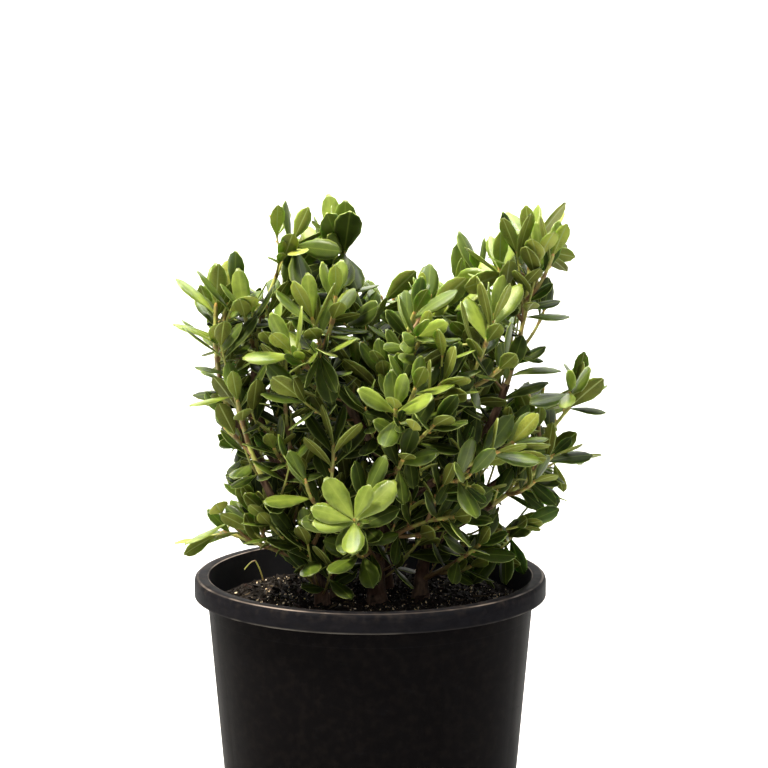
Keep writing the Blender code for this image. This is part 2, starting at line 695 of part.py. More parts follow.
def cut_drains(pot, cutters):
    """Slots through the foot of the wall and the floor's edge, evenly round the pot."""
    for number in range(DRAINS):
        angle = 2 * math.pi * (number + 0.5) / DRAINS
        middle = BASE_RADIUS + BASE_ROUND - DRAIN_REACH / 2
        bpy.ops.mesh.primitive_cube_add(
            size=1.0, location=(middle * math.cos(angle), middle * math.sin(angle), 0.0),
            rotation=(0.0, 0.0, angle), scale=(DRAIN_REACH, DRAIN_WIDTH, 2 * DRAIN_HEIGHT))
        cutter = bpy.context.object
        cutter.name = "drain_cutter_%d" % (number + 1)
        cutter.hide_render = True
        cutter.display_type = "WIRE"
        for home in list(cutter.users_collection):
            home.objects.unlink(cutter)
        cutters.objects.link(cutter)
    cut = pot.modifiers.new("drains", "BOOLEAN")
    cut.operation = "DIFFERENCE"
    cut.operand_type = "COLLECTION"
    cut.collection = cutters
    cut.solver = "EXACT"


# ---------------------------------------------------------------- assembly
def make_material(name):
    colour, roughness = COLOURS[name]
    material = bpy.data.materials.new(name)
    material.use_nodes = True
    shader = material.node_tree.nodes["Principled BSDF"]
    shader.inputs["Base Color"].default_value = (*colour, 1.0)
    shader.inputs["Roughness"].default_value = roughness
    shader.inputs["Metallic"].default_value = 0.0
    return material


def grow_crown():
    """Limbs, twigs and leaves of every shoot, in order: name to (path, start, twigs, leaves)."""
    limbs = {}
    for name, shoot in SHOOTS.items():
        path = limb_path(shoot)
        limbs[name] = (path, path.length * shoot[4])
    crowd = limb_crowd(limbs)
    crown = {}
    for name, shoot in SHOOTS.items():
        path, start = limbs[name]
        crown[name] = (path, start, *grow_mass(name, shoot, path, start, crowd))
    return crown


def main():
    for obj in list(bpy.data.objects):
        bpy.data.objects.remove(obj)
    scene = bpy.context.scene
    parts = bpy.data.collections.new(OBJECT_NAME)
    cutters = bpy.data.collections.new("cutters")
    scene.collection.children.link(parts)
    scene.collection.children.link(cutters)
    materials = {name: make_material(name) for name in COLOURS}

    pot = turned_object("pot", pot_profile(), materials["pot_plastic"], parts)
    cut_drains(pot, cutters)
    turned_object("potting_mix", mix_profile(), materials["potting_mix"], parts)
    for name in STEMS:
        make_stem(name, materials["box_bark"], parts)
    for name, (path, start, twigs, leaves) in grow_crown().items():
        if start:
            make_bough(name + "_bough", path, start, materials["box_bark"], parts)
        make_mass(name + "_foliage", path, start, twigs, leaves, materials["box_foliage"], parts)


if __name__ == "__main__":
    main()
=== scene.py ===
"""Potted boxwood shrub, dressed: the crown, bark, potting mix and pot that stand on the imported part.

Metres, +Z up, in the part's own frame: the origin is the centre of the pot's flat underside.
The crown grows by the part's own rule and seeds, and then goes on to finer twigs and small leaves.
"""
import collections
import functools
import itertools
import math
import random

import bmesh
import bpy
from mathutils import Matrix, Vector, noise
from mathutils.bvhtree import BVHTree
from mathutils.geometry import intersect_point_line


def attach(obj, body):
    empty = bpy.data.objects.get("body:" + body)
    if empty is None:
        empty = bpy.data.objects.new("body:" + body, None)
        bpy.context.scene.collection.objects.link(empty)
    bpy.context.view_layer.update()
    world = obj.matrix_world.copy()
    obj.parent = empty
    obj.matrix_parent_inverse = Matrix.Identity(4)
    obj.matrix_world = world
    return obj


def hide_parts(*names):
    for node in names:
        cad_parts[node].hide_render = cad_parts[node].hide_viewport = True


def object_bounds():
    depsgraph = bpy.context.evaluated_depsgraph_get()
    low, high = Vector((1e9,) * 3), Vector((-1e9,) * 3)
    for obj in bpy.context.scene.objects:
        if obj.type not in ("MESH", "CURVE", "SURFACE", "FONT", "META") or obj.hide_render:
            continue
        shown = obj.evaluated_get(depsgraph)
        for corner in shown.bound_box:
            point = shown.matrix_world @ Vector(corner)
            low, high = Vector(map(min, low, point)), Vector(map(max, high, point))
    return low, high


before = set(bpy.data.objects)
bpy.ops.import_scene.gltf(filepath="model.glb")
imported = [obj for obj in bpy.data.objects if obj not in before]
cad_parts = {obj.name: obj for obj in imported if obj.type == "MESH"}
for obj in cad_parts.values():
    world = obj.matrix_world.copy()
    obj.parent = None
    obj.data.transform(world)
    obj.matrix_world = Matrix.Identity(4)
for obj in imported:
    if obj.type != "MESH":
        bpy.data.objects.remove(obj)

CAD_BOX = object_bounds()
MM = 0.001
UP = Vector((0.0, 0.0, 1.0))
PLUMB_LIMIT = 1e-3          # a heading this near to upright has no level side of its own
GAP = 0.3 * MM              # clearance between neighbouring solids of the part

# ---------------------------------------------------------------- pot and potting mix
POT_HEIGHT = 132 * MM
RIM_RADIUS = 70 * MM
RIM_SKIRT = 7.6 * MM        # height of the rolled rim's outer band
RIM_ROUND = 1.9 * MM
LIP_ROUND = 0.65 * MM       # half the wall, rounded over at the inner lip
WALL_TOP_RADIUS = 65.5 * MM
BASE_RADIUS = 54.5 * MM
BASE_ROUND = 2.0 * MM
WALL = 1.3 * MM
FLOOR = 1.6 * MM
LIP_STEPS = 2
RIM_STEPS = 3
BASE_STEPS = 2
DRAINS = 8
DRAIN_WIDTH = 9 * MM
DRAIN_HEIGHT = 7 * MM
DRAIN_REACH = 8 * MM        # how far a drain slot runs in under the floor's edge
MIX_EDGE = 119.5 * MM       # the mix's height at the wall
MIX_CROWN = 3.0 * MM        # how much higher it stands in the middle

# ---------------------------------------------------------------- stems and boughs
STEM_FLARE = 0.5            # extra radius at the foot, as a share
FLARE_HEIGHT = 6 * MM
STEM_BEND = 0.55            # a stem rises plumb towards this share of its height, then leans
LIMB_BEND = 0.5             # and a bough keeps its first heading for this share of its reach
STEM_RINGS = 5
BOUGH_FOOT_RADIUS = 1.9 * MM
BOUGH_TIP_RADIUS = 1.4 * MM
BOUGH_RINGS = 3
STEM_SHELL_SIDES = 8
LIMB_SHELL_SIDES = 6
SHARP_ANGLE = 40            # degrees between faces from which their edge is drawn sharp
FOOT_CHECKS = 12            # points round a limb's foot that are kept off the stem
FOOT_STEP = 0.1 * MM

# name: foot x and y, tip x, y and z, foot radius, tip radius, all in millimetres
STEMS = {
    "trunk": ((2.5, -10), (6, -9, 190), 3.1, 1.9),
    "left_stem": ((-13, -4), (-31, -5, 172), 2.5, 1.9),
    "left_front_stem": ((-19, -14), (-27, -17, 148), 2.4, 1.9),
    "right_stem": ((20, -4), (35, -6, 172), 2.6, 1.9),
    "back_stem": ((6, 17), (6, 28, 172), 2.6, 1.9),
}

# ---------------------------------------------------------------- foliage
LEADER_RADIUS = 1.25 * MM
TWIG_RADIUS = 1.0 * MM
SHOOT_TIP_RADIUS = 0.8 * MM
TWIG_SIDES = 3
LEADER_RINGS = 5
TWIG_RINGS = 3
LEAF_LENGTH = 21 * MM       # true to life here, and closer set than the part's own leaves
LEAF_WIDTH_SHARE = 0.39
LEAF_THICKNESS = 0.42 * MM
LEAF_ROOT_HALF = 0.36 * MM
LEAF_KEEL = 0.22 * MM       # how far the leaf's root reaches under its axis
LEAF_WIDEST = 0.58          # share of the length at which the leaf is widest
LEAF_END_WIDTH = 0.42       # width of the blunt end, as a share
LEAF_CUP = 0.16             # how far the blade's edges drop, as a share of its half width
LEAF_CLEAR = 0.2 * MM       # kept round every leaf and limb, so twice this between two
INTERNODE = 8 * MM
TIP_GAPS = (0.6 * MM, 2.8 * MM, 5.2 * MM, 6.8 * MM)    # pairs crowd towards a shoot's tip
PAIR_SIZES = (0.86, 1.02, 1.0, 0.92, 0.85, 0.8)         # from the tip pair down the shoot
PAIR_ANGLES = (13, 31, 47, 57, 63, 66)                  # degrees between leaf and shoot
QUARTER_TURN = 90           # each pair stands across the last
INTERNODE_SPREAD = (0.85, 1.15)
PAIR_SPREAD = (0.84, 1.12)  # sizes vary from pair to pair, and a little within a pair
LEAF_SPREAD = (0.93, 1.07)
CURLS = (0.03, 0.19)        # how far a blade's tip drops, as a share of its length
PAIR_SWAY = 9               # degrees by which a pair's angle varies
LEAF_SWAY = 6               # and each leaf's own
ROLL_SWAY = 14              # how far a leaf strays round the shoot, and its blade turns
FIRST_LEAF = 14 * MM        # from a bough's tip to its mass's first leaves
BARE_SHARE = 0.36           # leafless share of a mass that leaves its stem with no bough
TWIG_BARE_SHARE = 0.45
SKY_PULL = 0.25             # how far a blade turns its face up from the shoot's own sense
SPREAD = 38 * MM            # half width of a mass's own space, round its leader
POT_CLEAR = 1.5 * MM        # kept between foliage and the pot or the mix
ROOT_SHARE = 0.05           # a leaf is kept clear of other masses from this share of its length
BLADE_SHARE = 0.17          # and of its own mass from this one
TWIG_ROOT_SHARE = 0.25      # a twig may meet its own mass up to here
TWIG_LEAF_SCALE = 0.92
TWIG_SEED_STEP = 1000
TWIG_TURN = 37              # degrees that each twig's leaves are turned on from the last's
GOLDEN_ANGLE = 137.5
FORK_START = 0.08           # the leafy leader's share at which its side twigs begin
FORK_SPAN = 0.62            # and the share that they are spread over
FORK_PLACES = (0.15, 0.85)  # where in its own stretch a twig stands
FORK_SWAY = 20
FORK_ANGLES = (42, 60)
TWIG_SPREAD = (0.8, 1.15)
TWIG_SHORTENING = 0.25      # how much shorter the highest twigs are
TWIG_BEND = 0.45
TWIG_END_MIX = (0.45, 0.45, 0.3)    # a twig ends between its start, its leader and upright
# degrees round the shoot, degrees opened and scale that a leaf tries in turn until it fits
TRIES = ((0, 0, 1.0), (16, 6, 0.97), (-16, -6, 0.94), (30, 12, 0.88), (-30, -12, 0.8))
# corners of the solid blade's faces, in the order that Leaf.shell gives them
LEAF_FACES = (
    (0, 1, 4, 3), (3, 4, 7, 6), (0, 3, 5, 2), (1, 2, 5, 4), (3, 6, 5), (5, 6, 7), (4, 5, 7), (0, 2, 1))
# where a leaf stands: its pair from the tip down, distance along the shoot, degrees round it and
# opened from it, length, degrees that its blade is twisted, and its tip's drop
Place = collections.namedtuple("Place", "pair distance around lean length twist curl")

# name: stem, share of its length, tip in millimetres, start pitch in degrees, bare share of the
# limb (its bough), side twigs, their length in millimetres, leaf scale, seed
SHOOTS = {
    "tall_left": ("left_stem", 1.0, (-30, 1, 265), 80, 0.45, 2, 24, 1.0, 22),
    "top_mid": ("back_stem", 1.0, (-14, 19, 264), 80, 0.42, 2, 24, 1.0, 309),
    "top_right": ("right_stem", 1.0, (63, 5, 263), 80, 0.42, 3, 26, 1.05, 151),
    "left_outer": ("left_stem", 0.74, (-60, -8, 240), 38, 0.45, 2, 24, 1.0, 104),
    "far_right": ("right_stem", 0.58, (80, -1, 201), 30, 0.42, 2, 22, 0.95, 209),
    "left_low": ("left_front_stem", 0.62, (-56, -16, 152), 20, 0.0, 2, 20, 1.0, 358),
    "left_inner": ("left_stem", 0.88, (-53, 16, 231), 32, 0.48, 1, 20, 1.0, 2),
    "left_mid": ("left_front_stem", 1.0, (-52, -15, 203), 50, 0.5, 2, 20, 0.95, 337),
    "left_lower": ("left_stem", 0.5, (-47, 17, 180), 35, 0.0, 2, 20, 0.95, 299),
    "centre_right": ("trunk", 1.0, (17, -16, 238), 70, 0.38, 2, 22, 1.0, 206),
    "centre_left": ("trunk", 0.86, (-22, -26, 237), 50, 0.42, 2, 22, 1.0, 129),
    "centre": ("back_stem", 0.88, (-2, 2, 229), 50, 0.38, 1, 20, 0.95, 88),
    "right_upper_back": ("right_stem", 0.86, (44, 23, 249), 40, 0.48, 2, 22, 0.95, 192),
    "right_mid": ("trunk", 0.9, (47, -27, 236), 22, 0.42, 2, 20, 1.0, 148),
    "right_back": ("right_stem", 0.7, (58, 37, 210), 25, 0.45, 2, 20, 0.9, 53),
    "right_lower": ("right_stem", 0.48, (71, -11, 181), 25, 0.42, 2, 20, 0.9, 85),
    "right_front": ("trunk", 0.5, (48, -41, 188), 35, 0.45, 2, 22, 0.95, 90),
    "right_droop": ("right_stem", 0.4, (64, 17, 165), 30, 0.45, 1, 18, 0.9, 178),
    "right_low": ("right_stem", 0.28, (55, 6, 148), 20, 0.0, 1, 18, 0.9, 88),
    "front_low": ("trunk", 0.24, (-9, -49, 167), 30, 0.0, 2, 18, 1.1, 310),
    "centre_low_right": ("trunk", 0.32, (32, -36, 162), 35, 0.0, 2, 18, 0.95, 283),
    "base_right": ("right_stem", 0.14, (42, -31, 150), 25, 0.0, 1, 14, 0.8, 252),
    "centre_front": ("trunk", 0.78, (17, -39, 212), 50, 0.42, 2, 20, 1.0, 90),
    "left_mid_small": ("left_stem", 0.66, (-32, -20, 225), 50, 0.0, 1, 18, 0.9, 310),
    "mid_right_front": ("trunk", 0.64, (24, -44, 199), 45, 0.0, 1, 20, 0.95, 321),
    "mid_left_front": ("left_front_stem", 0.8, (-14, -33, 189), 45, 0.0, 1, 20, 0.95, 259),
    "back_left": ("back_stem", 0.76, (-35, 50, 222), 45, 0.45, 2, 22, 1.05, 2),
    "back_mid": ("back_stem", 0.66, (9, 51, 228), 50, 0.45, 2, 22, 1.05, 387),
    "back_right": ("back_stem", 0.56, (38, 51, 221), 45, 0.45, 2, 22, 1.05, 214),
    "back_low_left": ("back_stem", 0.4, (-41, 56, 170), 30, 0.35, 1, 20, 1.05, 344),
    "back_low_right": ("back_stem", 0.32, (36, 59, 172), 30, 0.35, 1, 20, 1.05, 395),
}

# ---------------------------------------------------------------- finer growth
LOW_LEAF = 3 * MM           # the lowest leaves of a leader stand this near to its bough
TWIG_LOW_SHARE = 0.2
LOW_LEAF_SCALE = 0.9
SPUR_SEED_STEP = 50000
SPUR_TOP = 10 * MM          # axil shoots start this far under a twig's tip
SPUR_STEP = (6 * MM, 11 * MM)
SPUR_CHANCE = 0.75
SPUR_LENGTHS = (5 * MM, 12 * MM)
SPUR_ANGLES = (28, 46)
SPUR_SCALES = (0.55, 0.85)
SPUR_BARE_SHARE = 0.2
SPUR_RADIUS = 0.55 * MM
SPUR_TIP_RADIUS = 0.4 * MM
INNER_SEED = 4100
INNER_STEM_SHARES = (
    0.12, 0.17, 0.22, 0.27, 0.32, 0.37, 0.42, 0.47, 0.52, 0.57, 0.62, 0.68, 0.74, 0.8, 0.86, 0.92, 0.97)
INNER_BOUGH_SHARES = (0.2, 0.4, 0.6, 0.78, 0.94)
INNER_LENGTHS = (15 * MM, 34 * MM)
INNER_PITCHES = (18, 52)
INNER_SCALES = (0.82, 1.02)
INNER_BARE_SHARE = 0.22
# as TRIES, with more ways to turn aside
FINE_TRIES = (*TRIES, (48, 4, 0.85), (-48, -4, 0.85), (70, 14, 0.8), (-70, -14, 0.8))
# the crown's open gaps, as the camera sees them: middle x and z, and radius, in millimetres
SKY_GAPS = (
    ((4, 257), 7), ((0, 271), 6), ((30, 257), 5.5), ((-47, 273), 8), ((-66, 265), 9),
    ((-77, 218), 8), ((-67, 185), 7), ((-66, 173), 8), ((-74, 162), 7),
    ((78, 243), 7), ((72, 226), 7), ((72, 209), 5.5), ((57, 212), 5), ((62, 229), 5),
    ((48, 172), 5), ((57, 162), 6), ((54, 153), 4), ((40, 150), 3.5),
    ((91, 186), 5), ((82, 154), 7),
    ((-76, 206), 6), ((-70, 223), 4), ((-66, 193), 5), ((-58, 178), 5), ((-67, 157), 6),
    ((-58, 141), 6), ((-48, 139), 5), ((-38, 137), 4), ((82, 172), 7), ((87, 167), 6),
    ((86, 190), 4), ((79, 240), 6), ((68, 233), 5), ((8, 250), 5), ((14, 258), 6),
    ((-4, 256), 4), ((30, 251), 4), ((-42, 262), 4),
    ((-68, 236), 4), ((-69, 209), 5), ((-45, 250), 4), ((-37, 265), 3), ((-6, 262), 4),
    ((81, 264), 4), ((72, 253), 3), ((65, 213), 4), ((54, 208), 3), ((77, 194), 4),
    ((-60, 164), 4), ((-46, 132), 6), ((-58, 133), 6), ((-34, 131), 4),
    ((-72, 151), 3), ((-75, 147), 2), ((63, 145.5), 3), ((69.5, 147), 2.5),
)
SKY_CHECKS = (0.35, 0.58, 0.8, 1.0)     # shares of a blade's length that stay out of the gaps
# the low front spray opens flat towards the front, leaf by leaf: height up its shoot in
# millimetres, degrees round it, degrees opened and length in millimetres
FRONT_SPRAY_START = (-4 * MM, -44 * MM, 158 * MM)
FRONT_SPRAY_TIP = (-6 * MM, -56 * MM, 165 * MM)
FRONT_SPRAY = (
    (13.2, -52, 72, 20), (11.6, -134, 76, 22), (13.8, -116, 62, 15),
    (12.6, -8, 64, 18), (10.6, 14, 58, 18), (12.0, 96, 56, 19),
)
FRONT_SPRAY_BREADTH = 1.2   # its leaves are broader than the rest
# it stands in the sun: nothing else grows between it and the key light
SUN_SHAFT = 17 * MM
SUN_START = 4 * MM
# leaves that are laid one by one: leader, share up it, tip in millimetres, where the face
# looks, and the tip's drop as a share of the length
LAID_LEAVES = (
    ("top_right", 0.43, (51, -10, 226), (0.2, -1, 0.2), 0.08),
    ("top_right", 0.47, (59, -13, 229), (-0.2, -1, 0.1), 0.05),
    ("top_right", 0.50, (69, -3, 224), (0, -0.45, 1), 0.05),
    ("top_right", 0.54, (68, -7, 219), (0.1, -0.5, 1), 0.12),
    ("top_right", 0.45, (69, -10, 222), (0, -0.3, 1), 0.55),
    ("top_right", 0.35, (68, -10, 213), (0, -0.4, 1), 0.2),
    ("top_right", 0.70, (78, -6, 237), (0, -0.3, 1), 0.1),
    ("top_right", 0.73, (75, 2, 242), (0.1, -0.45, 1), 0.1),
    ("top_right", 0.76, (71, -8, 249), (-0.5, -0.7, 0.8), 0.05),
    ("top_right", 0.62, (47, -9, 232), (0, -0.5, 1), 0.1),
    ("far_right", 0.95, (93, -3, 199), (0, -0.3, 1), 0.15),
    ("left_low", 0.95, (-63, -19, 162), (-0.3, -0.7, 1), 0.1),
    ("right_lower", 0.55, (64, -12, 165), (0.3, -0.4, 1), 0.5),
    ("right_lower", 0.85, (77, -10, 175), (0.2, -0.3, 1), 0.5),
    ("right_lower", 0.75, (73, -15, 163), (0.3, -1, 0.4), 0.1),
    ("right_lower", 0.65, (70, -7, 159), (0.3, -0.8, 0.6), 0.1),
)
# further side twigs: shoot, share of its leader, tip in millimetres, leaf scale, seed
SIDE_TWIGS = (
    ("top_right", 0.26, (60, 16, 250), 1.11, 376),
    ("tall_left", 0.97, (-29, -5, 262), 1.1, 391),
    ("top_mid", 0.84, (-10, 3, 260), 1.25, 266),
    ("left_outer", 0.85, (-59, 1, 241), 1.08, 363),
    ("left_mid", 0.75, (-57, 2, 222), 1.02, 470),
    ("top_right", 0.86, (50, 1, 251), 1.24, 937),
    ("top_right", 0.96, (68, 10, 260), 1.04, 921),
    ("far_right", 0.97, (78, -9, 206), 1.21, 172),
    ("far_right", 0.59, (64, 15, 201), 1.11, 124),
    ("tall_left", 0.87, (-39, 2, 274), 1.13, 540),
    ("top_mid", 0.72, (-11, 5, 259), 1.07, 108),
    ("top_mid", 0.58, (-11, 14, 253), 1.03, 699),
    ("top_mid", 0.39, (-15, 9, 254), 1.02, 357),
    ("left_outer", 0.72, (-53, -14, 241), 1.09, 45),
    ("left_inner", 0.65, (-53, 0, 244), 1.09, 790),
    ("left_mid", 0.77, (-58, -23, 229), 1.02, 529),
    ("centre", 0.95, (7, 13, 241), 1.02, 780),
    ("back_mid", 0.71, (21, 12, 235), 1.06, 930),
    ("centre_right", 0.78, (30, 10, 237), 1.04, 47),
    ("back_right", 0.91, (38, 26, 242), 1.12, 669),
    ("top_right", 0.66, (57, -6, 261), 1.02, 386),
    ("top_right", 0.87, (67, 15, 262), 1.09, 582),
    ("top_right", 0.49, (66, -8, 259), 1.09, 394),
    ("top_right", 0.36, (60, 10, 242), 0.91, 926),
    ("right_upper_back", 0.84, (46, 6, 236), 1.03, 311),
    ("right_mid", 0.82, (31, -25, 226), 0.9, 452),
    ("far_right", 0.97, (82, 5, 207), 1.0, 629),
    ("far_right", 0.47, (65, 22, 198), 0.87, 435),
    ("right_lower", 0.75, (79, 1, 179), 1.01, 834),
    ("right_droop", 0.85, (66, -1, 172), 1.02, 413),
    ("right_droop", 0.61, (59, 8, 173), 1.0, 977),
    ("right_low", 0.97, (52, -7, 144), 1.03, 234),
    ("left_low", 0.97, (-54, -8, 154), 1.1, 635),
    ("left_low", 0.91, (-67, -10, 148), 0.92, 917),
    ("left_low", 0.63, (-59, -24, 163), 1.04, 387),
    ("left_lower", 0.88, (-55, 23, 203), 0.9, 435),
    ("left_lower", 0.69, (-53, -7, 184), 0.82, 966),
    ("tall_left", 0.25, (-19, -12, 234), 0.98, 958),
    ("left_mid_small", 0.69, (-42, -7, 244), 1.02, 954),
    ("top_mid", 0.23, (-10, -7, 233), 1.01, 24),
    ("centre_left", 0.82, (-19, -31, 224), 0.94, 565),
    ("centre_right", 0.58, (18, -31, 231), 0.95, 920),
)
SIDE_BARE_SHARE = 0.3
STOUTNESS = (0.9, 1.1)      # how much broader or narrower one leaf is than the next

# ---------------------------------------------------------------- surfaces
BARK_STEP = 1.0 * MM
BARK_SIDES = 16
BARK_RELIEF = 0.55 * MM
BARK_RIDGE = (0.9 * MM, 7 * MM)     # width and length of the ridges in the bark
COLLAR_REACH = 2.6 * MM     # a bough's foot goes on this far into its stem
COLLAR_SWELL = 0.35
COLLAR_LENGTH = 3.5 * MM
STEM_SINK = 4 * MM          # a stem's foot goes on this far into the mix
SHOOT_STEP = 1.2 * MM
SHOOT_SIDES = 8
SHOOT_END_RADIUS = 0.6 * MM     # thinner at its tip than the part's own shoots
SHOOT_SQUARENESS = 0.09     # young box shoots are four-cornered
SHOOT_RELIEF = 0.07 * MM
SHOOT_RIDGE = (0.5 * MM, 3 * MM)
GRAIN_DRIFT = 40.0          # shifts the relief from limb to limb, so that no two have the same
NODE_SWELL = 0.3            # a shoot thickens where its leaves stand
NODE_REACH = 1.3 * MM
NODE_AGE = 0.45             # and looks this much older there
BLADE_ROWS = (0.0, 0.08, 0.26, 0.5, 0.74, 0.92, 1.0)
BLADE_WIDTHS = (0.09, 0.13, 0.52, 0.95, 0.97, 0.7, 0.34)
BLADE_UPPER = (-1.0, -0.5, -0.04, 0.04, 0.5, 1.0)
BLADE_UNDER = (-1.0, -0.08, 0.08, 1.0)
SMALL_ROWS = (0.0, 0.1, 0.36, 0.66, 0.9, 1.0)
SMALL_WIDTHS = (0.1, 0.16, 0.72, 1.0, 0.78, 0.38)
SMALL_UPPER = (-1.0, -0.5, 0.0, 0.5, 1.0)
SMALL_UNDER = (-1.0, 0.0, 1.0)
SMALL_LEAF = 13 * MM        # shorter leaves than this take the plainer blade
BLADE_THICK = 0.016         # as shares of the blade's length
BLADE_EDGE_THICK = 0.011
MIDRIB_SINK = 0.004
MIDRIB_RAISE = 0.009
BLADE_ROUNDING = 0.07       # how far the blade's end is rounded back at its corners
BLADE_NOTCH = 0.022         # and nicked in at its midrib
NOTCH_HALF = 0.3            # half the notch's width, as a share of the half width
RIB_HALF = 0.1              # share of the half width, within which corners shape the midrib
UNDER_BREADTH = 0.98        # the underside's breadth as a share of the upper face's
UPPER, UNDERSIDE, MARGIN, MIDRIB = range(4)
BLADE_FINISHES = ("Upper", "Underside", "Margin", "Midrib")     # the four sides above, in order
BUD_LENGTH = 2.6 * MM
BUD_WIDTH = 1.3 * MM
BUD_SIDES = 8
BUD_OUTLINE = ((0.0, 0.6), (0.25, 1.0), (0.6, 0.8), (0.9, 0.3), (1.0, 0.06))    # along, and how wide
BUD_SINK = 0.2              # share of a tip's bud that sits inside the shoot
TIP_BUD_SPREAD = (0.8, 1.2)
SPRIG_BUD_SCALE = 0.7       # buds of the finer shoots are smaller
AXIL_BUD_SPREAD = (0.45, 0.7)
AXIL_BUD_STAND = 0.7        # how far from the axis an axil's bud stands, by the shoot's radius
AXIL_BUD_LEAN = 0.6

POT_FINE_STEPS = 144
MIX_RINGS = 40
MIX_STEPS = 150
MIX_LUMP = 1.1 * MM
MIX_LUMP_SIZE = 7 * MM
MIX_FADE = 3 * MM           # the lumps flatten over this distance from the wall
MIX_EDGE_LUMPS = 0.25       # and keep this share of their height at it
MIX_SHARP_ANGLE = 60
TOP_SLOPE = 0.2             # litter lies on faces that look up at least this much
TOP_DROP = 2 * MM           # and lie no further than this under the mix's edge
DRAIN_ROUND = 1.2 * MM
CREST_HIGHLIGHT_DROP = 0.18 * MM      # how far under the rim's top its painted highlight line lies

# ---------------------------------------------------------------- tones, dealt out by spray
# from the crown's shade to its open tips, as painted shade and light: upper face and underside, each from
# deep to fresh; the undersides paler, as box leaves are, and lighter still as painted light shining through
# them
TONES = {
    "shade": (("#212C0D", "#3A4817"), ("#495020", "#666B2B")),
    "middle": (("#34431A", "#586A20"), ("#565D28", "#767D35")),
    "open": (("#4B5D1B", "#84943A"), ("#6C722D", "#949944")),
}
TONE_STEPS = (0.38, 0.68)
OPEN_SHARE = 0.7            # a leaf that sees more sky than this is never in the deepest tone
TONE_SWAY = 0.2
YOUNG_LIFT = 0.12
TONE_SEED = 501
BLADE_SEED = 502
BUD_SEED = 503
# roughness, specular level, and how far the net of small veins pales the blade
UPPER_SKIN = {"shade": (0.44, 0.12, 0.1), "middle": (0.38, 0.28, 0.12), "open": (0.35, 0.36, 0.12)}
UNDER_SKIN = (0.58, 0.14, 0.55)
VEIN_MESH = 1.1 * MM
# rays leaning left and to the front, towards the key light: leaves whose rays other leaves stop get the
# darker painted shade
SKY_RAYS = ((0, 0, 1), (-1, 0, 1), (-0.5, -0.4, 1), (-0.4, 0.4, 1), (0.3, -0.3, 1), (0, -1, 1), (-1, -1, 0.8))
RAY_START = 1.5 * MM
RAY_REACH = 0.3

# a bent stem and its stump, each by start, bend and end in millimetres, and its radius in metres
SEEDLING = (
    (((-44, 36, 119), (-45, 36, 125), (-47.5, 36, 129)), 0.4 * MM),
    (((-47.5, 36, 129), (-49, 35.5, 129.5), (-52, 35, 125.5)), 0.36 * MM),
)
WEED_THINNING = 0.7

# ---------------------------------------------------------------- plain finishes and litter
# two tones, size of their patches, roughness, and specular level; then whether it is crumbly
FINISHES = {
    # leaf midrib and petiole: smooth, pale yellow-green, a thin light line down the blade
    "leaf_midrib": ("#75833C", "#98A358", 5 * MM, 0.42),
    # leaf margin: the cuticle's thick horny edge, pale and a little glassy
    "leaf_margin": ("#74863A", "#9FAE5E", 6 * MM, 0.35),
    # resting bud: small dry scales, mottled from olive brown to a light orange-brown
    "bud_scale": ("#A38A3C", "#D8A568", 1.5 * MM, 0.5),
    # seamless studio paper: matt, near white, with the faintest unevenness
    "studio_paper": ("#CDCCCA", "#D4D3D1", 80 * MM, 0.95, 0.1),
    # damp peat-based mix: near black, matt, with no sheen to catch the light
    "potting_mix_bed": ("#1A1511", "#241D17", 1.6 * MM, 0.92, 0.3, True),
    # composted bark, broken and damp: the darkest chips, matt
    "composted_bark": ("#171310", "#221B16", 2.5 * MM, 0.92, 0.3, True),
    # fresh bark, milled: a few warmer, redder chips among the dark ones
    "fresh_bark": ("#211612", "#3A2820", 2.5 * MM, 0.92, 0.3, True),
    # sieved peat: fine dark crumbs that fill in between the chips
    "peat_crumbs": ("#18130F", "#261E18", 1.2 * MM, 0.92, 0.3, True),
    # torn bark fibre: short straw-brown lines across the dark mix
    "bark_fibre": ("#2C241C", "#564936", 2 * MM, 0.92, 0.3, True),
    # perlite, heat-expanded: small cream-white grains, the mix's only bright specks
    "perlite": ("#D9B679", "#FFF8E8", 0.8 * MM, 0.4, 0.3, True),
}
# chunks of unit length: how many kinds, their box, corners of each, seed
CHUNKS = {
    "chip": (7, (1.0, 0.55, 0.3), 10, 61),
    "crumb": (5, (1.0, 0.85, 0.7), 7, 62),
    "sliver": (4, (1.0, 0.14, 0.1), 8, 63),
}
# name: chunk, grains to a square metre, least and greatest length, greatest tilt in radians, how
# far they stand up by their length, margin kept to the wall, seed, finish
LITTER = {
    "bark_chips": ("chip", 52000, 2.5 * MM, 6.5 * MM, 0.7, 0.12, 5 * MM, 71, "composted_bark"),
    "red_bark_chips": ("chip", 4000, 3 * MM, 7 * MM, 0.8, 0.2, 5 * MM, 72, "fresh_bark"),
    "peat_crumbs": ("crumb", 420000, 0.9 * MM, 2.4 * MM, 3.0, 0.2, 2 * MM, 73, "peat_crumbs"),
    "bark_fibres": ("sliver", 16000, 4 * MM, 10 * MM, 0.5, 0.08, 6 * MM, 74, "bark_fibre"),
    "perlite_grains": ("crumb", 60000, 0.6 * MM, 1.5 * MM, 3.0, 0.5, 4 * MM, 75, "perlite"),
}

# ---------------------------------------------------------------- studio and camera
CAMERA_PLACE = (0.0, -0.9751, 0.3535)
CAMERA_TILT = 8.4767        # degrees below level
CAMERA_YAW = 0.3208         # degrees to the right
CAMERA_LENS = 117.19
CAMERA_SENSOR = 36.0
FLOOR_REACH = 2.2
SWEEP_START = 0.9
SWEEP_RADIUS = 0.7
SWEEP_STEPS = 16
BACK_HEIGHT = 2.6
AIR_STRENGTH = 0.46
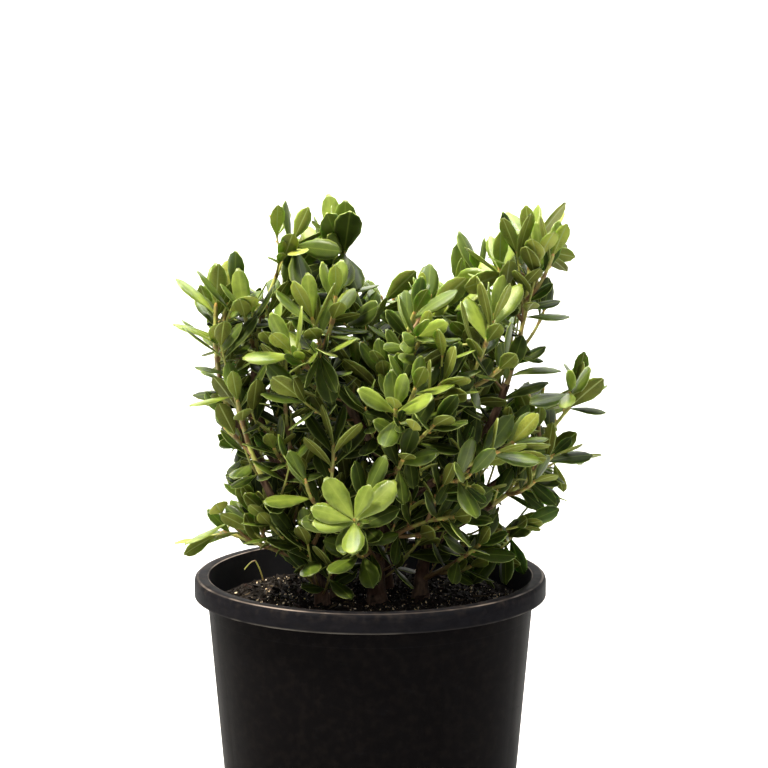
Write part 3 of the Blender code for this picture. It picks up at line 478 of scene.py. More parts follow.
# name: place, what it faces, width and height in metres, power in watts, colour
LIGHTS = {
    "key": ((-0.42, -0.26, 1.08), (0.0, 0.0, 0.2), (0.14, 0.14), 23, "#FFF6E4"),
    "fill": ((1.1, -1.0, 0.7), (0.0, 0.0, 0.15), (0.9, 0.9), 1.2, "#F4F8FF"),
    "back": ((0.2, 0.7, 1.3), (0.0, 0.0, 0.2), (0.5, 0.4), 3, "#FFFFFF"),
    "backdrop": ((0.0, 0.4, 1.9), (0.0, 1.6, 0.5), (1.6, 0.5), 110, "#FFFFFF"),
}


# ---------------------------------------------------------------- paths
class Path:
    """A limb's axis: a quadratic curve, read by its length, with a side that never twists."""

    STEPS = 24

    def __init__(self, start, bend, end):
        self.points = []
        self.headings = []
        for i in range(self.STEPS + 1):
            t = i / self.STEPS
            self.points.append(start * (1 - t) ** 2 + bend * (2 * t * (1 - t)) + end * t ** 2)
            self.headings.append(((bend - start) * (1 - t) + (end - bend) * t).normalized())
        self.run = [0.0]
        for a, b in zip(self.points, self.points[1:]):
            self.run.append(self.run[-1] + (b - a).length)
        self.length = self.run[-1]
        side = self.headings[0].cross(UP)
        if side.length < PLUMB_LIMIT:
            side = Vector((1.0, 0.0, 0.0))
        self.sides = [side.normalized()]
        for heading in self.headings[1:]:
            self.sides.append(squared(self.sides[-1], heading))

    def at(self, distance):
        """Point, heading and side at a distance along the path."""
        distance = min(max(distance, 0.0), self.length)
        i = 0
        while i < self.STEPS - 1 and self.run[i + 1] < distance:
            i += 1
        share = (distance - self.run[i]) / (self.run[i + 1] - self.run[i])
        heading = self.headings[i].lerp(self.headings[i + 1], share).normalized()
        side = squared(self.sides[i].lerp(self.sides[i + 1], share), heading)
        return self.points[i].lerp(self.points[i + 1], share), heading, side

    def along(self, start, end, count):
        """count + 1 points, evenly spaced from start to end."""
        return [self.at(start + (end - start) * i / count)[0] for i in range(count + 1)]

    def nearest(self, point):
        """Distance from a point to the path, and the share of the path where that is."""
        best = (math.inf, 0.0)
        for i in range(self.STEPS):
            start, end = self.points[i], self.points[i + 1]
            share = held(intersect_point_line(point, start, end)[1])
            distance = (point - start.lerp(end, share)).length
            best = min(best, (distance, blend(self.run[i], self.run[i + 1], share) / self.length))
        return best

    def foot_of(self, point):
        """How far along the path it comes nearest to a point."""
        return self.nearest(point)[1] * self.length


def turned(vector, axis, degrees):
    return Matrix.Rotation(math.radians(degrees), 3, axis) @ vector


def squared(vector, heading):
    """The unit vector square to a heading that lies nearest to a vector."""
    return (vector - heading * vector.dot(heading)).normalized()


def tilted(heading, out, degrees):
    """A heading turned by an angle towards another that is square to it."""
    return heading * math.cos(math.radians(degrees)) + out * math.sin(math.radians(degrees))


def twig_path(root, first, last, length):
    """A short path that leaves its root by one heading and ends by another."""
    bend = root + first * length * TWIG_BEND
    return Path(root, bend, bend + last * length * (1 - TWIG_BEND))


def blend(a, b, share):
    return a + (b - a) * share


def held(share):
    return min(max(share, 0.0), 1.0)


# ---------------------------------------------------------------- stems and limbs
def pot_outer_radius(height):
    return blend(BASE_RADIUS, WALL_TOP_RADIUS, height / POT_HEIGHT)


def pot_inner_radius(height):
    return pot_outer_radius(height) - WALL


def mix_height(radius):
    """Height of the potting mix at a distance from the pot's axis."""
    share = radius / pot_inner_radius(MIX_EDGE)
    return MIX_EDGE + MIX_CROWN * (1 - share ** 2)


@functools.cache
def stem_path(name):
    foot, tip, foot_radius, _ = STEMS[name]
    foot = Vector((foot[0] * MM, foot[1] * MM, 0.0))
    inward = max(foot.length - foot_radius * (1 + STEM_FLARE) * MM, 0.0)
    foot.z = mix_height(inward) + GAP
    tip = Vector(tip) * MM
    return Path(foot, foot + UP * (tip.z - foot.z) * STEM_BEND, tip)


def stem_radius(name, share):
    foot_radius, tip_radius = (r * MM for r in STEMS[name][2:4])
    flare = STEM_FLARE * math.exp(-share * stem_path(name).length / FLARE_HEIGHT)
    return blend(foot_radius, tip_radius, share) * (1 + flare)


def foot_clear(stem, start, heading, radius):
    """Whether a limb's flat foot, centred at start, keeps its gap to the stem's skin."""
    side = heading.orthogonal().normalized() * radius
    for i in range(FOOT_CHECKS):
        edge = start + turned(side, heading, 360 * i / FOOT_CHECKS)
        distance, share = stem_path(stem).nearest(edge)
        if distance < stem_radius(stem, share) + GAP:
            return False
    return True


def limb_path(stem, share, tip, pitch, bare):
    """From the stem's skin, or on from its tip, to the tip of the shoot."""
    tip = Vector(tip) * MM
    origin, heading, _ = stem_path(stem).at(stem_path(stem).length * share)
    start = origin + heading * GAP
    if share < 1.0:
        level = Vector((tip.x - origin.x, tip.y - origin.y, 0.0)).normalized()
        heading = tilted(level, UP, pitch)
        radius = BOUGH_FOOT_RADIUS if bare else LEADER_RADIUS
        while not foot_clear(stem, start, heading, radius):
            start = start + heading * FOOT_STEP
    return Path(start, start + heading * (tip - start).length * LIMB_BEND, tip)


# ---------------------------------------------------------------- foliage: the rule
def tube_shell(points, radii, sides):
    """Corners and faces of a closed tube of few sides."""
    corners = []
    faces = []
    side = (points[1] - points[0]).orthogonal()
    last = len(points) - 1
    for i, (point, radius) in enumerate(zip(points, radii)):
        heading = (points[min(i + 1, last)] - points[max(i - 1, 0)]).normalized()
        side = squared(side, heading)
        across = heading.cross(side)
        for k in range(sides):
            turn = 2 * math.pi * k / sides
            corners.append(point + (side * math.cos(turn) + across * math.sin(turn)) * radius)
    for i in range(last):
        for k in range(sides):
            a = i * sides + k
            b = i * sides + (k + 1) % sides
            faces.append((a, b, b + sides, a + sides))
    faces.append(tuple(reversed(range(sides))))
    faces.append(tuple(last * sides + k for k in range(sides)))
    return corners, faces


def even_tube(path, first, last, rings, radius, sides=LIMB_SHELL_SIDES):
    """The shell of a stretch of path at one radius."""
    return tube_shell(path.along(first, last, rings), [radius] * (rings + 1), sides)


class Leaf:
    """One blade: its root on the shoot's axis, where it points and where its upper face looks."""

    def __init__(self, root, heading, face, length, curl):
        self.root = root
        self.heading = heading
        self.face = face
        self.across = heading.cross(face).normalized()
        self.length = length
        self.half = length * LEAF_WIDTH_SHARE / 2
        self.curl = curl

    def point(self, along, across, above=0.0):
        """along and across as shares of the length and half width, above the face in metres."""
        drop = self.length * self.curl * along ** 2 + self.half * LEAF_CUP * across ** 2
        flat = self.root + self.heading * (along * self.length) + self.across * (across * self.half)
        return flat + self.face * (above - drop)

    def shell(self, clear=0.0, start=0.0):
        """Corners and faces of the solid blade; clear swells it and start leaves its root out."""
        wide = 1 + clear / self.half
        foot = (LEAF_ROOT_HALF + clear) / self.half
        end = LEAF_END_WIDTH + clear / self.half
        reach = 1 + clear / self.length
        top = LEAF_THICKNESS + clear
        low = -LEAF_KEEL - clear
        outline = (
            (start, -foot, low), (start, foot, low), (start, 0, top),
            (LEAF_WIDEST, -wide, -clear), (LEAF_WIDEST, wide, -clear), (LEAF_WIDEST, 0, top),
            (reach, -end, -clear), (reach, end, -clear))
        return [self.point(*corner) for corner in outline], LEAF_FACES


class Crowd:
    """All that has grown so far, and whether a new piece would touch any of it."""

    CELL = 15 * MM

    def __init__(self):
        self.cells = {}

    @staticmethod
    def ball(corners):
        centre = sum(corners, Vector()) / len(corners)
        return centre, max((corner - centre).length for corner in corners)

    def near(self, centre, radius):
        """The cells that a ball reaches into."""
        spans = [range(math.floor((c - radius) / self.CELL), math.floor((c + radius) / self.CELL) + 1)
                 for c in centre]
        return itertools.product(*spans)

    def add(self, corners, faces, owner):
        centre, radius = self.ball(corners)
        item = (centre, radius, BVHTree.FromPolygons(corners, faces), owner)
        for cell in self.near(centre, radius):
            self.cells.setdefault(cell, []).append(item)

    def keep(self, leaf, spray, pair, shell, leaves):
        """Takes in a leaf with the shell that others keep off, and lists it."""
        self.add(*shell, (*spray, len(leaves)))
        leaf.spray = spray
        leaf.pair = pair
        leaves.append(leaf)

    def touches(self, corners, faces, among):
        """Whether the piece touches any item whose owner passes the test named among."""
        centre, radius = self.ball(corners)
        tree = None
        tested = set()
        for cell in self.near(centre, radius):
            for other_centre, other_radius, other, owner in self.cells.get(cell, ()):
                if owner in tested or (other_centre - centre).length > radius + other_radius:
                    continue
                tested.add(owner)
                if among(owner):
                    tree = tree or BVHTree.FromPolygons(corners, faces)
                    if tree.overlap(other):
                        return True
        return False


def clear_of_pot(points):
    """Whether all points keep clear of the mix and of the pot's rim."""
    for point in points:
        radius = math.hypot(point.x, point.y)
        if point.z < mix_height(min(radius, RIM_RADIUS)) + POT_CLEAR:
            return False
        over_rim = radius > pot_inner_radius(POT_HEIGHT) - POT_CLEAR
        if over_rim and point.z < POT_HEIGHT + POT_CLEAR:
            return False
    return True


def limb_crowd(limbs, clear):
    """Every stem, bough and leader, which all twigs and leaves keep clear of."""
    crowd = Crowd()
    for name in STEMS:
        path = stem_path(name)
        radii = [stem_radius(name, i / STEM_RINGS) + clear for i in range(STEM_RINGS + 1)]
        points = path.along(0.0, path.length, STEM_RINGS)
        crowd.add(*tube_shell(points, radii, STEM_SHELL_SIDES), ("", name))
    for name, (path, end) in limbs.items():
        if end > 0:
            bough = even_tube(path, 0.0, end, BOUGH_RINGS, BOUGH_FOOT_RADIUS + clear)
            crowd.add(*bough, ("", name + "_bough"))
        leader = even_tube(path, end, path.length, LEADER_RINGS, LEADER_RADIUS + clear)
        crowd.add(*leader, (name, 0))
    return crowd


def side_twigs(path, start, count, length, roll, chance):
    """Twigs from the leader's leaf axils, a golden angle apart, shorter towards its tip."""
    twigs = []
    for i in range(count):
        share = FORK_START + FORK_SPAN * (i + chance.uniform(*FORK_PLACES)) / count
        root, heading, side = path.at(start + (path.length - start) * share)
        out = turned(side, heading, roll + GOLDEN_ANGLE * i + chance.uniform(-FORK_SWAY, FORK_SWAY))
        first = tilted(heading, out, chance.uniform(*FORK_ANGLES)).normalized()
        reach = length * chance.uniform(*TWIG_SPREAD) * (1 - TWIG_SHORTENING * i / count)
        mix = TWIG_END_MIX
        last = (first * mix[0] + heading * mix[1] + UP * mix[2]).normalized()
        twigs.append(twig_path(root, first, last, reach))
    return twigs


def leaf_places(path, start, roll, scale, chance):
    """Opposite pairs, each a quarter turn from the last, counted from the tip down the shoot."""
    places = []
    distance = path.length
    for pair in itertools.count():
        last = min(pair, len(PAIR_SIZES) - 1)
        if pair < len(TIP_GAPS):
            distance -= TIP_GAPS[pair]
        else:
            distance -= INTERNODE * chance.uniform(*INTERNODE_SPREAD)
        if distance <= start:
            return places
        size = LEAF_LENGTH * scale * PAIR_SIZES[last] * chance.uniform(*PAIR_SPREAD)
        angle = PAIR_ANGLES[last] + chance.uniform(-PAIR_SWAY, PAIR_SWAY)
        for opposite in (0, 180):
            places.append(Place(
                pair, distance,
                roll + QUARTER_TURN * pair + opposite + chance.uniform(-ROLL_SWAY, ROLL_SWAY),
                angle + chance.uniform(-LEAF_SWAY, LEAF_SWAY),
                size * chance.uniform(*LEAF_SPREAD),
                chance.uniform(-ROLL_SWAY, ROLL_SWAY),
                chance.uniform(*CURLS)))


def leaf_at(path, place, swing, open_up, shrink):
    root, heading, side = path.at(place.distance)
    out = turned(side, heading, place.around + swing)
    lean = math.radians(place.lean + open_up)
    points = (heading * math.cos(lean) + out * math.sin(lean)).normalized()
    face = (heading * math.sin(lean) - out * math.cos(lean)) * (1 - SKY_PULL) + UP * SKY_PULL
    face = turned(squared(face, points), points, place.twist)
    return Leaf(root, points, face, place.length * shrink, place.curl)


def leaf_fits(name, leaf, path, number, crowd):
    """Whether a leaf stays in its mass's space, clear of the pot, of limbs and of every leaf."""
    corners, faces = leaf.shell(LEAF_CLEAR, ROOT_SHARE)
    if path.nearest(leaf.point(1.0, 0.0))[0] > SPREAD or not clear_of_pot(corners):
        return False
    if crowd.touches(corners, faces, lambda owner: owner[0] != name):
        return False
    blade = leaf.shell(LEAF_CLEAR, BLADE_SHARE)
    return not crowd.touches(*blade, lambda owner: owner[0] == name and owner != (name, number))


def mass_places(shoot, twigs, firsts):
    """Every place for a leaf on a mass's twigs, beyond the distance that firsts gives for each."""
    scale, seed = shoot[7:]
    roll = random.Random(seed).uniform(0, 180)
    places = []
    for (number, twig, bare), first in zip(twigs, firsts):
        size = scale * (TWIG_LEAF_SCALE if number else 1)
        chance = random.Random(TWIG_SEED_STEP * seed + number)
        for place in leaf_places(twig, first, roll + TWIG_TURN * number, size, chance):
            places.append((number, twig, bare, place))
    return places


def grow_mass(name, shoot, path, start, crowd):
    """Side twigs, then leaves from every tip down; what would touch or stray is skipped."""
    chance = random.Random(shoot[8])
    roll = chance.uniform(0, 180)
    twigs = [(0, path, start + FIRST_LEAF if start else path.length * BARE_SHARE)]
    grown = side_twigs(path, start, shoot[5], shoot[6] * MM, roll, chance)
    for number, twig in enumerate(grown, 1):
        whole = even_tube(twig, 0.0, twig.length, TWIG_RINGS, TWIG_RADIUS + LEAF_CLEAR)
        foot = TWIG_ROOT_SHARE * twig.length
        free = even_tube(twig, foot, twig.length, TWIG_RINGS, TWIG_RADIUS + LEAF_CLEAR)
        if not clear_of_pot(twig.along(foot, twig.length, TWIG_RINGS)):
            continue
        if crowd.touches(*whole, lambda owner: owner[0] != name):
            continue
        if not crowd.touches(*free, lambda owner: owner[0] == name):
            crowd.add(*whole, (name, number))
            twigs.append((number, twig, TWIG_BARE_SHARE * twig.length))
    places = mass_places(shoot, twigs, [bare for _, _, bare in twigs])
    leaves = []
    for number, twig, _, place in sorted(places, key=lambda item: item[3].pair):
        for attempt in TRIES:
            leaf = leaf_at(twig, place, *attempt)
            if leaf_fits(name, leaf, path, number, crowd):
                shell = leaf.shell(LEAF_CLEAR, ROOT_SHARE)
                crowd.keep(leaf, (name, number), place.pair, shell, leaves)
                break
    return twigs, leaves


def grow_crown():
    """The part's own crown: its limbs and what grew on each."""
    limbs = {}
    for name, shoot in SHOOTS.items():
        path = limb_path(*shoot[:5])
        limbs[name] = (path, path.length * shoot[4])
    crowd = limb_crowd(limbs, LEAF_CLEAR)
    crown = {}
    for name, (path, start) in limbs.items():
        crown[name] = (path, start, *grow_mass(name, SHOOTS[name], path, start, crowd))
    return limbs, crown


# ---------------------------------------------------------------- foliage: finer growth
def fine_crowd(limbs, crown):
    """Limbs, twigs and blades without the part's clearances, for finer growth to keep off."""
    crowd = limb_crowd(limbs, 0.0)
    for name, (_, _, twigs, leaves) in crown.items():
        for number, twig, _ in twigs[1:]:
            shell = even_tube(twig, 0.0, twig.length, TWIG_RINGS, TWIG_RADIUS, TWIG_SIDES)
            crowd.add(*shell, (name, number))
        for count, leaf in enumerate(leaves):
            crowd.add(*leaf.shell(0.0, BLADE_SHARE), (name, leaf.spray[1], count))
    return crowd


def in_sky(point):
    """Whether a point stands, as seen from the front, in one of the crown's open gaps."""
    sight = point - Vector(CAMERA_PLACE)
    seen = Vector(CAMERA_PLACE) + sight * (-CAMERA_PLACE[1] / sight.y)
    return any((seen.xz - Vector(middle) * MM).length < radius * MM for middle, radius in SKY_GAPS)


def in_sun(point):
    """Whether a point stands in the shaft of light that falls on the low front spray."""
    way = (Vector(LIGHTS["key"][0]) - Vector(FRONT_SPRAY_TIP)).normalized()
    offset = point - Vector(FRONT_SPRAY_TIP)
    along = offset.dot(way)
    return along > SUN_START and (offset - way * along).length < SUN_SHAFT


def left_open(leaf):
    """Whether a leaf would close one of the crown's gaps or shade the low front spray."""
    points = [leaf.point(share, 0.0) for share in SKY_CHECKS]
    return any(in_sky(point) or in_sun(point) for point in points)


def fine_leaf(own, sprig, place, crowd, leaves):
    """Grows one more leaf at the first try that fits inside the box round the whole part."""
    for attempt in FINE_TRIES:
        leaf = leaf_at(sprig, place, *attempt)
        shell = leaf.shell(0.0, BLADE_SHARE)
        in_reach = all(low < c < high for c, low, high in zip(leaf.point(1.0, 0.0), *CAD_BOX))
        if not in_reach or not clear_of_pot(shell[0]) or left_open(leaf):
            continue
        if not crowd.touches(*shell, lambda owner: owner != own):
            crowd.keep(leaf, own, place.pair, shell, leaves)
            return


def lower_leaves(name, start, twigs, crowd, leaves):
    """The pairs that the part leaves off, down each twig's bare foot."""
    firsts = [TWIG_LOW_SHARE * twig.length if number else start + LOW_LEAF for number, twig, _ in twigs]
    for number, twig, bare, place in mass_places(SHOOTS[name], twigs, firsts):
        if place.distance <= bare:
            low = place._replace(length=place.length * LOW_LEAF_SCALE)
            fine_leaf((name, number), twig, low, crowd, leaves)


def leafy_shoot(own, sprig, scale, bare, chance, crowd, leaves):
    """A short shoot, kept off all limbs; says whether it grew any leaves."""
    foot = TWIG_ROOT_SHARE * sprig.length
    free = even_tube(sprig, foot, sprig.length, TWIG_RINGS, SPUR_RADIUS, TWIG_SIDES)
    if not clear_of_pot(free[0]) or in_sky(sprig.points[-1]):
        return False
    if crowd.touches(*free, lambda owner: len(owner) == 2):
        return False
    roll = chance.uniform(0, 180)
    fresh = []
    for place in leaf_places(sprig, bare, roll, scale, chance):
        fine_leaf(own, sprig, place, crowd, fresh)
    if fresh:
        crowd.add(*free, own)
    leaves.extend(fresh)
    return bool(fresh)


def axil_shoots(name, start, twigs, crowd, leaves):
    """Short shoots out of the leaf axils, a quarter turn on from one to the next."""
    chance = random.Random(SPUR_SEED_STEP + SHOOTS[name][8])
    grown = []
    for number, twig, _ in twigs:
        around = chance.uniform(0, 360)
        distance = twig.length - SPUR_TOP
        lowest = start + LOW_LEAF if number == 0 else LOW_LEAF
        while distance > lowest:
            around += QUARTER_TURN + chance.uniform(-ROLL_SWAY, ROLL_SWAY)
            root, heading, side = twig.at(distance)
            first = tilted(heading, turned(side, heading, around), chance.uniform(*SPUR_ANGLES))
            length = chance.uniform(*SPUR_LENGTHS)
            scale = chance.uniform(*SPUR_SCALES)
            if chance.random() < SPUR_CHANCE:
                sprig = twig_path(root, first, (first + UP * TWIG_BEND).normalized(), length)
                own = (name + "_spur", len(grown))
                if leafy_shoot(own, sprig, scale, SPUR_BARE_SHARE * length, chance, crowd, leaves):
                    grown.append(sprig)
            distance -= chance.uniform(*SPUR_STEP)
    return grown


def front_spray(leader, crowd, leaves):
    """The one spray that opens like a star towards the front, off its leader: its shoot."""
    start = Vector(FRONT_SPRAY_START)
    tip = Vector(FRONT_SPRAY_TIP)
    sprig = Path(start, start.lerp(tip, TWIG_BEND), tip)
    chance = random.Random(SPUR_SEED_STEP)
    for rise, around, lean, length in FRONT_SPRAY:
        twist = chance.uniform(-ROLL_SWAY, ROLL_SWAY) / 2
        curl = chance.uniform(*CURLS) / 2
        place = Place(0, rise * MM, around, lean, length * MM, twist, curl)
        leaf = leaf_at(sprig, place, *TRIES[0])
        crowd.keep(leaf, ("front_spray", 0), 0, leaf.shell(0.0, BLADE_SHARE), leaves)
    return Path(leader.at(leader.foot_of(start))[0], start, tip)


def laid_leaves(limbs, crowd, leaves):
    """The leaves that are laid one by one on their leaders."""
    for name, share, tip, facing, curl in LAID_LEAVES:
        leader = limbs[name][0]
        root = leader.at(share * leader.length)[0]
        reach = Vector(tip) * MM - root
        heading = reach.normalized()
        leaf = Leaf(root, heading, squared(Vector(facing), heading), reach.length, curl)
        crowd.keep(leaf, ("laid", name), 1, leaf.shell(0.0, BLADE_SHARE), leaves)


def further_twigs(limbs, crowd, leaves):
    """The side twigs that are placed one by one, each from its leader to its own tip."""
    grown = []
    for number, (name, share, tip, scale, seed) in enumerate(SIDE_TWIGS):
        leader = limbs[name][0]
        root, heading, _ = leader.at(share * leader.length)
        reach = Vector(tip) * MM - root
        first = (heading + reach.normalized()).normalized()
        sprig = Path(root, root + first * reach.length * TWIG_BEND, Vector(tip) * MM)
        bare = SIDE_BARE_SHARE * sprig.length
        if leafy_shoot(("side", number), sprig, scale, bare, random.Random(seed), crowd, leaves):
            grown.append(sprig)
    return grown


def inner_shoots(limbs, crowd, leaves):
    """Leafy shoots that fill the crown's inside, straight off the stems and the boughs."""
    chance = random.Random(INNER_SEED)
    grown = []
    places = [(stem_path(stem), share) for share in INNER_STEM_SHARES for stem in STEMS]
    for share in INNER_BOUGH_SHARES:
        places += [(path, share * end / path.length) for path, end in limbs.values() if end > 0]
    for number, (limb, share) in enumerate(places):
        root, heading, side = limb.at(share * limb.length)
        out = turned(side, heading, GOLDEN_ANGLE * number + chance.uniform(-FORK_SWAY, FORK_SWAY))
        first = tilted(out, heading, chance.uniform(*INNER_PITCHES)).normalized()
        length = chance.uniform(*INNER_LENGTHS)
        scale = chance.uniform(*INNER_SCALES)
        sprig = twig_path(root, first, (first + UP).normalized(), length)
        bare = INNER_BARE_SHARE * length
        if leafy_shoot(("inner", number), sprig, scale, bare, chance, crowd, leaves):
            grown.append(sprig)
    return grown


# ---------------------------------------------------------------- making pieces
def linear(code):
    """An sRGB hex colour as linear RGBA."""
    shares = [int(code[i:i + 2], 16) / 255 for i in (1, 3, 5)]
    return (*[c / 12.92 if c <= 0.04045 else ((c + 0.055) / 1.055) ** 2.4 for c in shares], 1.0)


def wire(node, links):
    """Gives sockets, by name or in order, their values, hex colours or sources."""
    for socket, value in links.items() if isinstance(links, dict) else enumerate(links):
        if isinstance(value, bpy.types.Node):
            value = next(output for output in value.outputs if output.enabled)
        if isinstance(value, bpy.types.NodeSocket):
            node.id_data.links.new(value, node.inputs[socket])
        else:
            coded = isinstance(value, str) and value.startswith("#")
            node.inputs[socket].default_value = linear(value) if coded else value
    return node


# Sockets go by number where their names repeat. Map Range: value, range read, range given. Mix:
# factor 0, colours 6 and 7. Random Value: vectors 0 and 1, floats 2 and 3. Compare: integers 2, 3.
def add(tree, kind, links=(), **settings):
    """Adds a node: settings are its own properties, links its sockets' values or sources."""
    node = tree.nodes.new(kind)
    for name, value in settings.items():
        setattr(node, name, value)
    return wire(node, links)


def new_tree(name, inputs):
    """A Geometry Nodes tree with named inputs: what adds its nodes, and its inputs' sources."""
    tree = bpy.data.node_groups.new(name, "GeometryNodeTree")
    for label, kind in {"Geometry": "Geometry", **inputs}.items():
        tree.interface.new_socket(label, in_out="INPUT", socket_type="NodeSocket" + kind)
    tree.interface.new_socket("Geometry", in_out="OUTPUT", socket_type="NodeSocketGeometry")
    return functools.partial(add, tree), add(tree, "NodeGroupInput").outputs


def run_tree(obj, tree, values):
    """Runs a tree on an object and keeps what it makes as the object's plain mesh."""
    modifier = obj.modifiers.new(tree.name, "NODES")
    modifier.node_group = tree
    for socket in tree.interface.items_tree:
        if socket.in_out == "INPUT" and socket.name in values:
            modifier[socket.identifier] = values[socket.name]
    return keep_evaluated(obj, modifier)


def keep_evaluated(obj, modifier):
    """Makes what a modifier gives the object's plain mesh and takes the modifier off."""
    depsgraph = bpy.context.evaluated_depsgraph_get()
    made = bpy.data.meshes.new_from_object(
        obj.evaluated_get(depsgraph), preserve_all_data_layers=True, depsgraph=depsgraph)
    obj.modifiers.remove(modifier)
    made.name = obj.name
    obj.data = made
    return obj


def placed(name, data):
    """A new object in the scene, at the origin."""
    obj = bpy.data.objects.new(name, data)
    bpy.context.scene.collection.objects.link(obj)
    return obj


def mesh_object(name, corners, edges=(), faces=()):
    mesh = bpy.data.meshes.new(name)
    mesh.from_pydata(corners, edges, faces)
    return placed(name, mesh)


def mesh_of(name, shape):
    """A mesh from a bmesh, which is then freed."""
    mesh = bpy.data.meshes.new(name)
    shape.to_mesh(mesh)
    shape.free()
    return mesh


def put_attribute(mesh, name, kind, values, domain="POINT"):
    """Stores one value for each point or face under a name that a tree or a material reads."""
    attribute = mesh.attributes.new(name, kind, domain)
    key = "vector" if kind == "FLOAT_VECTOR" else "value"
    for item, value in zip(attribute.data, values):
        setattr(item, key, value)


def smooth(mesh, finish, angle):
    """One finish, smooth but for edges sharper than an angle in degrees."""
    mesh.materials.clear()
    mesh.materials.append(finish)
    mesh.shade_smooth()
    mesh.set_sharp_from_angle(angle=math.radians(angle))


def finish_piece(obj, slot, *nodes):
    """The piece rides on the part's one body and stands for those of its nodes."""
    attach(obj, "root")
    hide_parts(*nodes)


# ---------------------------------------------------------------- geometry trees
def limb_tree():
    """A tube with relief along every line of its mesh, as thick as the line's points say."""
    node, given = new_tree("limb_skin", {
        "Sides": "Int", "Squareness": "Float", "Relief": "Float",
        "Ridge Width": "Float", "Ridge Length": "Float", "Skin": "Material"})
    thick = node("GeometryNodeInputNamedAttribute", {"Name": "thick"})
    line = node("GeometryNodeStoreNamedAttribute", {
        "Geometry": node("GeometryNodeMeshToCurve", {"Mesh": given["Geometry"]}), "Name": "run",
        "Value": node("GeometryNodeSplineParameter").outputs["Length"]})
    around = node("GeometryNodeSplineParameter").outputs["Factor"]
    ring = node("GeometryNodeCurvePrimitiveCircle", {"Resolution": given["Sides"], "Radius": 1.0})
    ring = node("GeometryNodeStoreNamedAttribute", {"Geometry": ring, "Name": "turn", "Value": around})
    corner = node("ShaderNodeMath", (around, 8 * math.pi), operation="MULTIPLY")
    corner = node("ShaderNodeMath", (corner,), operation="COSINE")
    corner = node("ShaderNodeMath", (corner, given["Squareness"]), operation="MULTIPLY")
    corner = node("ShaderNodeMath", (corner, 1.0), operation="ADD")
    square = node("ShaderNodeVectorMath", {
        0: node("GeometryNodeInputPosition"), "Scale": corner}, operation="SCALE")
    ring = node("GeometryNodeSetPosition", {"Geometry": ring, "Position": square})
    tube = node("GeometryNodeCurveToMesh", {
        "Curve": line, "Profile Curve": ring, "Scale": thick, "Fill Caps": True})
    # the relief's grain runs round the tube without a seam, and differs from limb to limb
    turn = node("GeometryNodeInputNamedAttribute", {"Name": "turn"})
    angle = node("ShaderNodeMath", (turn, 2 * math.pi), operation="MULTIPLY")
    flat = node("ShaderNodeCombineXYZ", {
        "X": node("ShaderNodeMath", (angle,), operation="COSINE"),
        "Y": node("ShaderNodeMath", (angle,), operation="SINE")})
    girth = node("ShaderNodeMath", (thick, given["Ridge Width"]), operation="DIVIDE")
    flat = node("ShaderNodeVectorMath", {0: flat, "Scale": girth}, operation="SCALE")
    run = node("GeometryNodeInputNamedAttribute", {"Name": "run"})
    up = node("ShaderNodeMath", (run, given["Ridge Length"]), operation="DIVIDE")
    up = node("ShaderNodeCombineXYZ", {"Z": up})
    grain = node("ShaderNodeVectorMath", (flat, up), operation="ADD")
    apart = node("ShaderNodeVectorMath", {
        0: node("GeometryNodeInputPosition"), "Scale": GRAIN_DRIFT}, operation="SCALE")
    grain = node("ShaderNodeVectorMath", (grain, apart), operation="ADD")
    ridges = node("ShaderNodeTexNoise", {"Vector": grain, "Scale": 1.0, "Detail": 3.0})
    tube = node("GeometryNodeStoreNamedAttribute", {"Geometry": tube, "Name": "ridge", "Value": ridges})
    height = node("ShaderNodeMath", (ridges, 0.5), operation="SUBTRACT")
    height = node("ShaderNodeMath", (height, given["Relief"]), operation="MULTIPLY")
    lift = node("ShaderNodeVectorMath", {
        0: node("GeometryNodeInputNormal"), "Scale": height}, operation="SCALE")
    skin = node("GeometryNodeSetPosition", {"Geometry": tube, "Offset": lift})
    skin = node("GeometryNodeRealizeInstances", (node("GeometryNodeSetShadeSmooth", (skin,)),))
    skin = node("GeometryNodeSetMaterial", {"Geometry": skin, "Material": given["Skin"]})
    return node("NodeGroupOutput", (skin,)).id_data


def foliage_tree():
    """A blade on every point, turned and sized by it, curled along its length, in four finishes."""
    node, given = new_tree("foliage", {"Blade": "Object", **dict.fromkeys(BLADE_FINISHES, "Material")})
    turn = node("GeometryNodeInputNamedAttribute", {"Name": "turn"}, data_type="QUATERNION")
    size = node("GeometryNodeInputNamedAttribute", {"Name": "size"}, data_type="FLOAT_VECTOR")
    blade = node("GeometryNodeObjectInfo", {"Object": given["Blade"], "As Instance": True})
    leaves = node("GeometryNodeInstanceOnPoints", {
        "Points": given["Geometry"], "Instance": blade.outputs["Geometry"], "Rotation": turn, "Scale": size})
    leaves = node("GeometryNodeRealizeInstances", (leaves,))
    along = node("GeometryNodeInputNamedAttribute", {"Name": "along"})
    square = node("ShaderNodeMath", (along, 2.0), operation="POWER")
    drop = node("GeometryNodeInputNamedAttribute", {"Name": "drop"}, data_type="FLOAT_VECTOR")
    curl = node("ShaderNodeVectorMath", {0: drop, "Scale": square}, operation="SCALE")
    leaves = node("GeometryNodeSetPosition", {"Geometry": leaves, "Offset": curl})
    leaves = node("GeometryNodeSetShadeSmooth", (leaves,))
    side = node("GeometryNodeInputNamedAttribute", {"Name": "side"}, data_type="INT")
    for number, label in enumerate(BLADE_FINISHES):
        chosen = node("FunctionNodeCompare", {2: side, 3: number}, data_type="INT", operation="EQUAL")
        leaves = node("GeometryNodeSetMaterial", {
            "Geometry": leaves, "Selection": chosen, "Material": given[label]})
    return node("NodeGroupOutput", (leaves,)).id_data


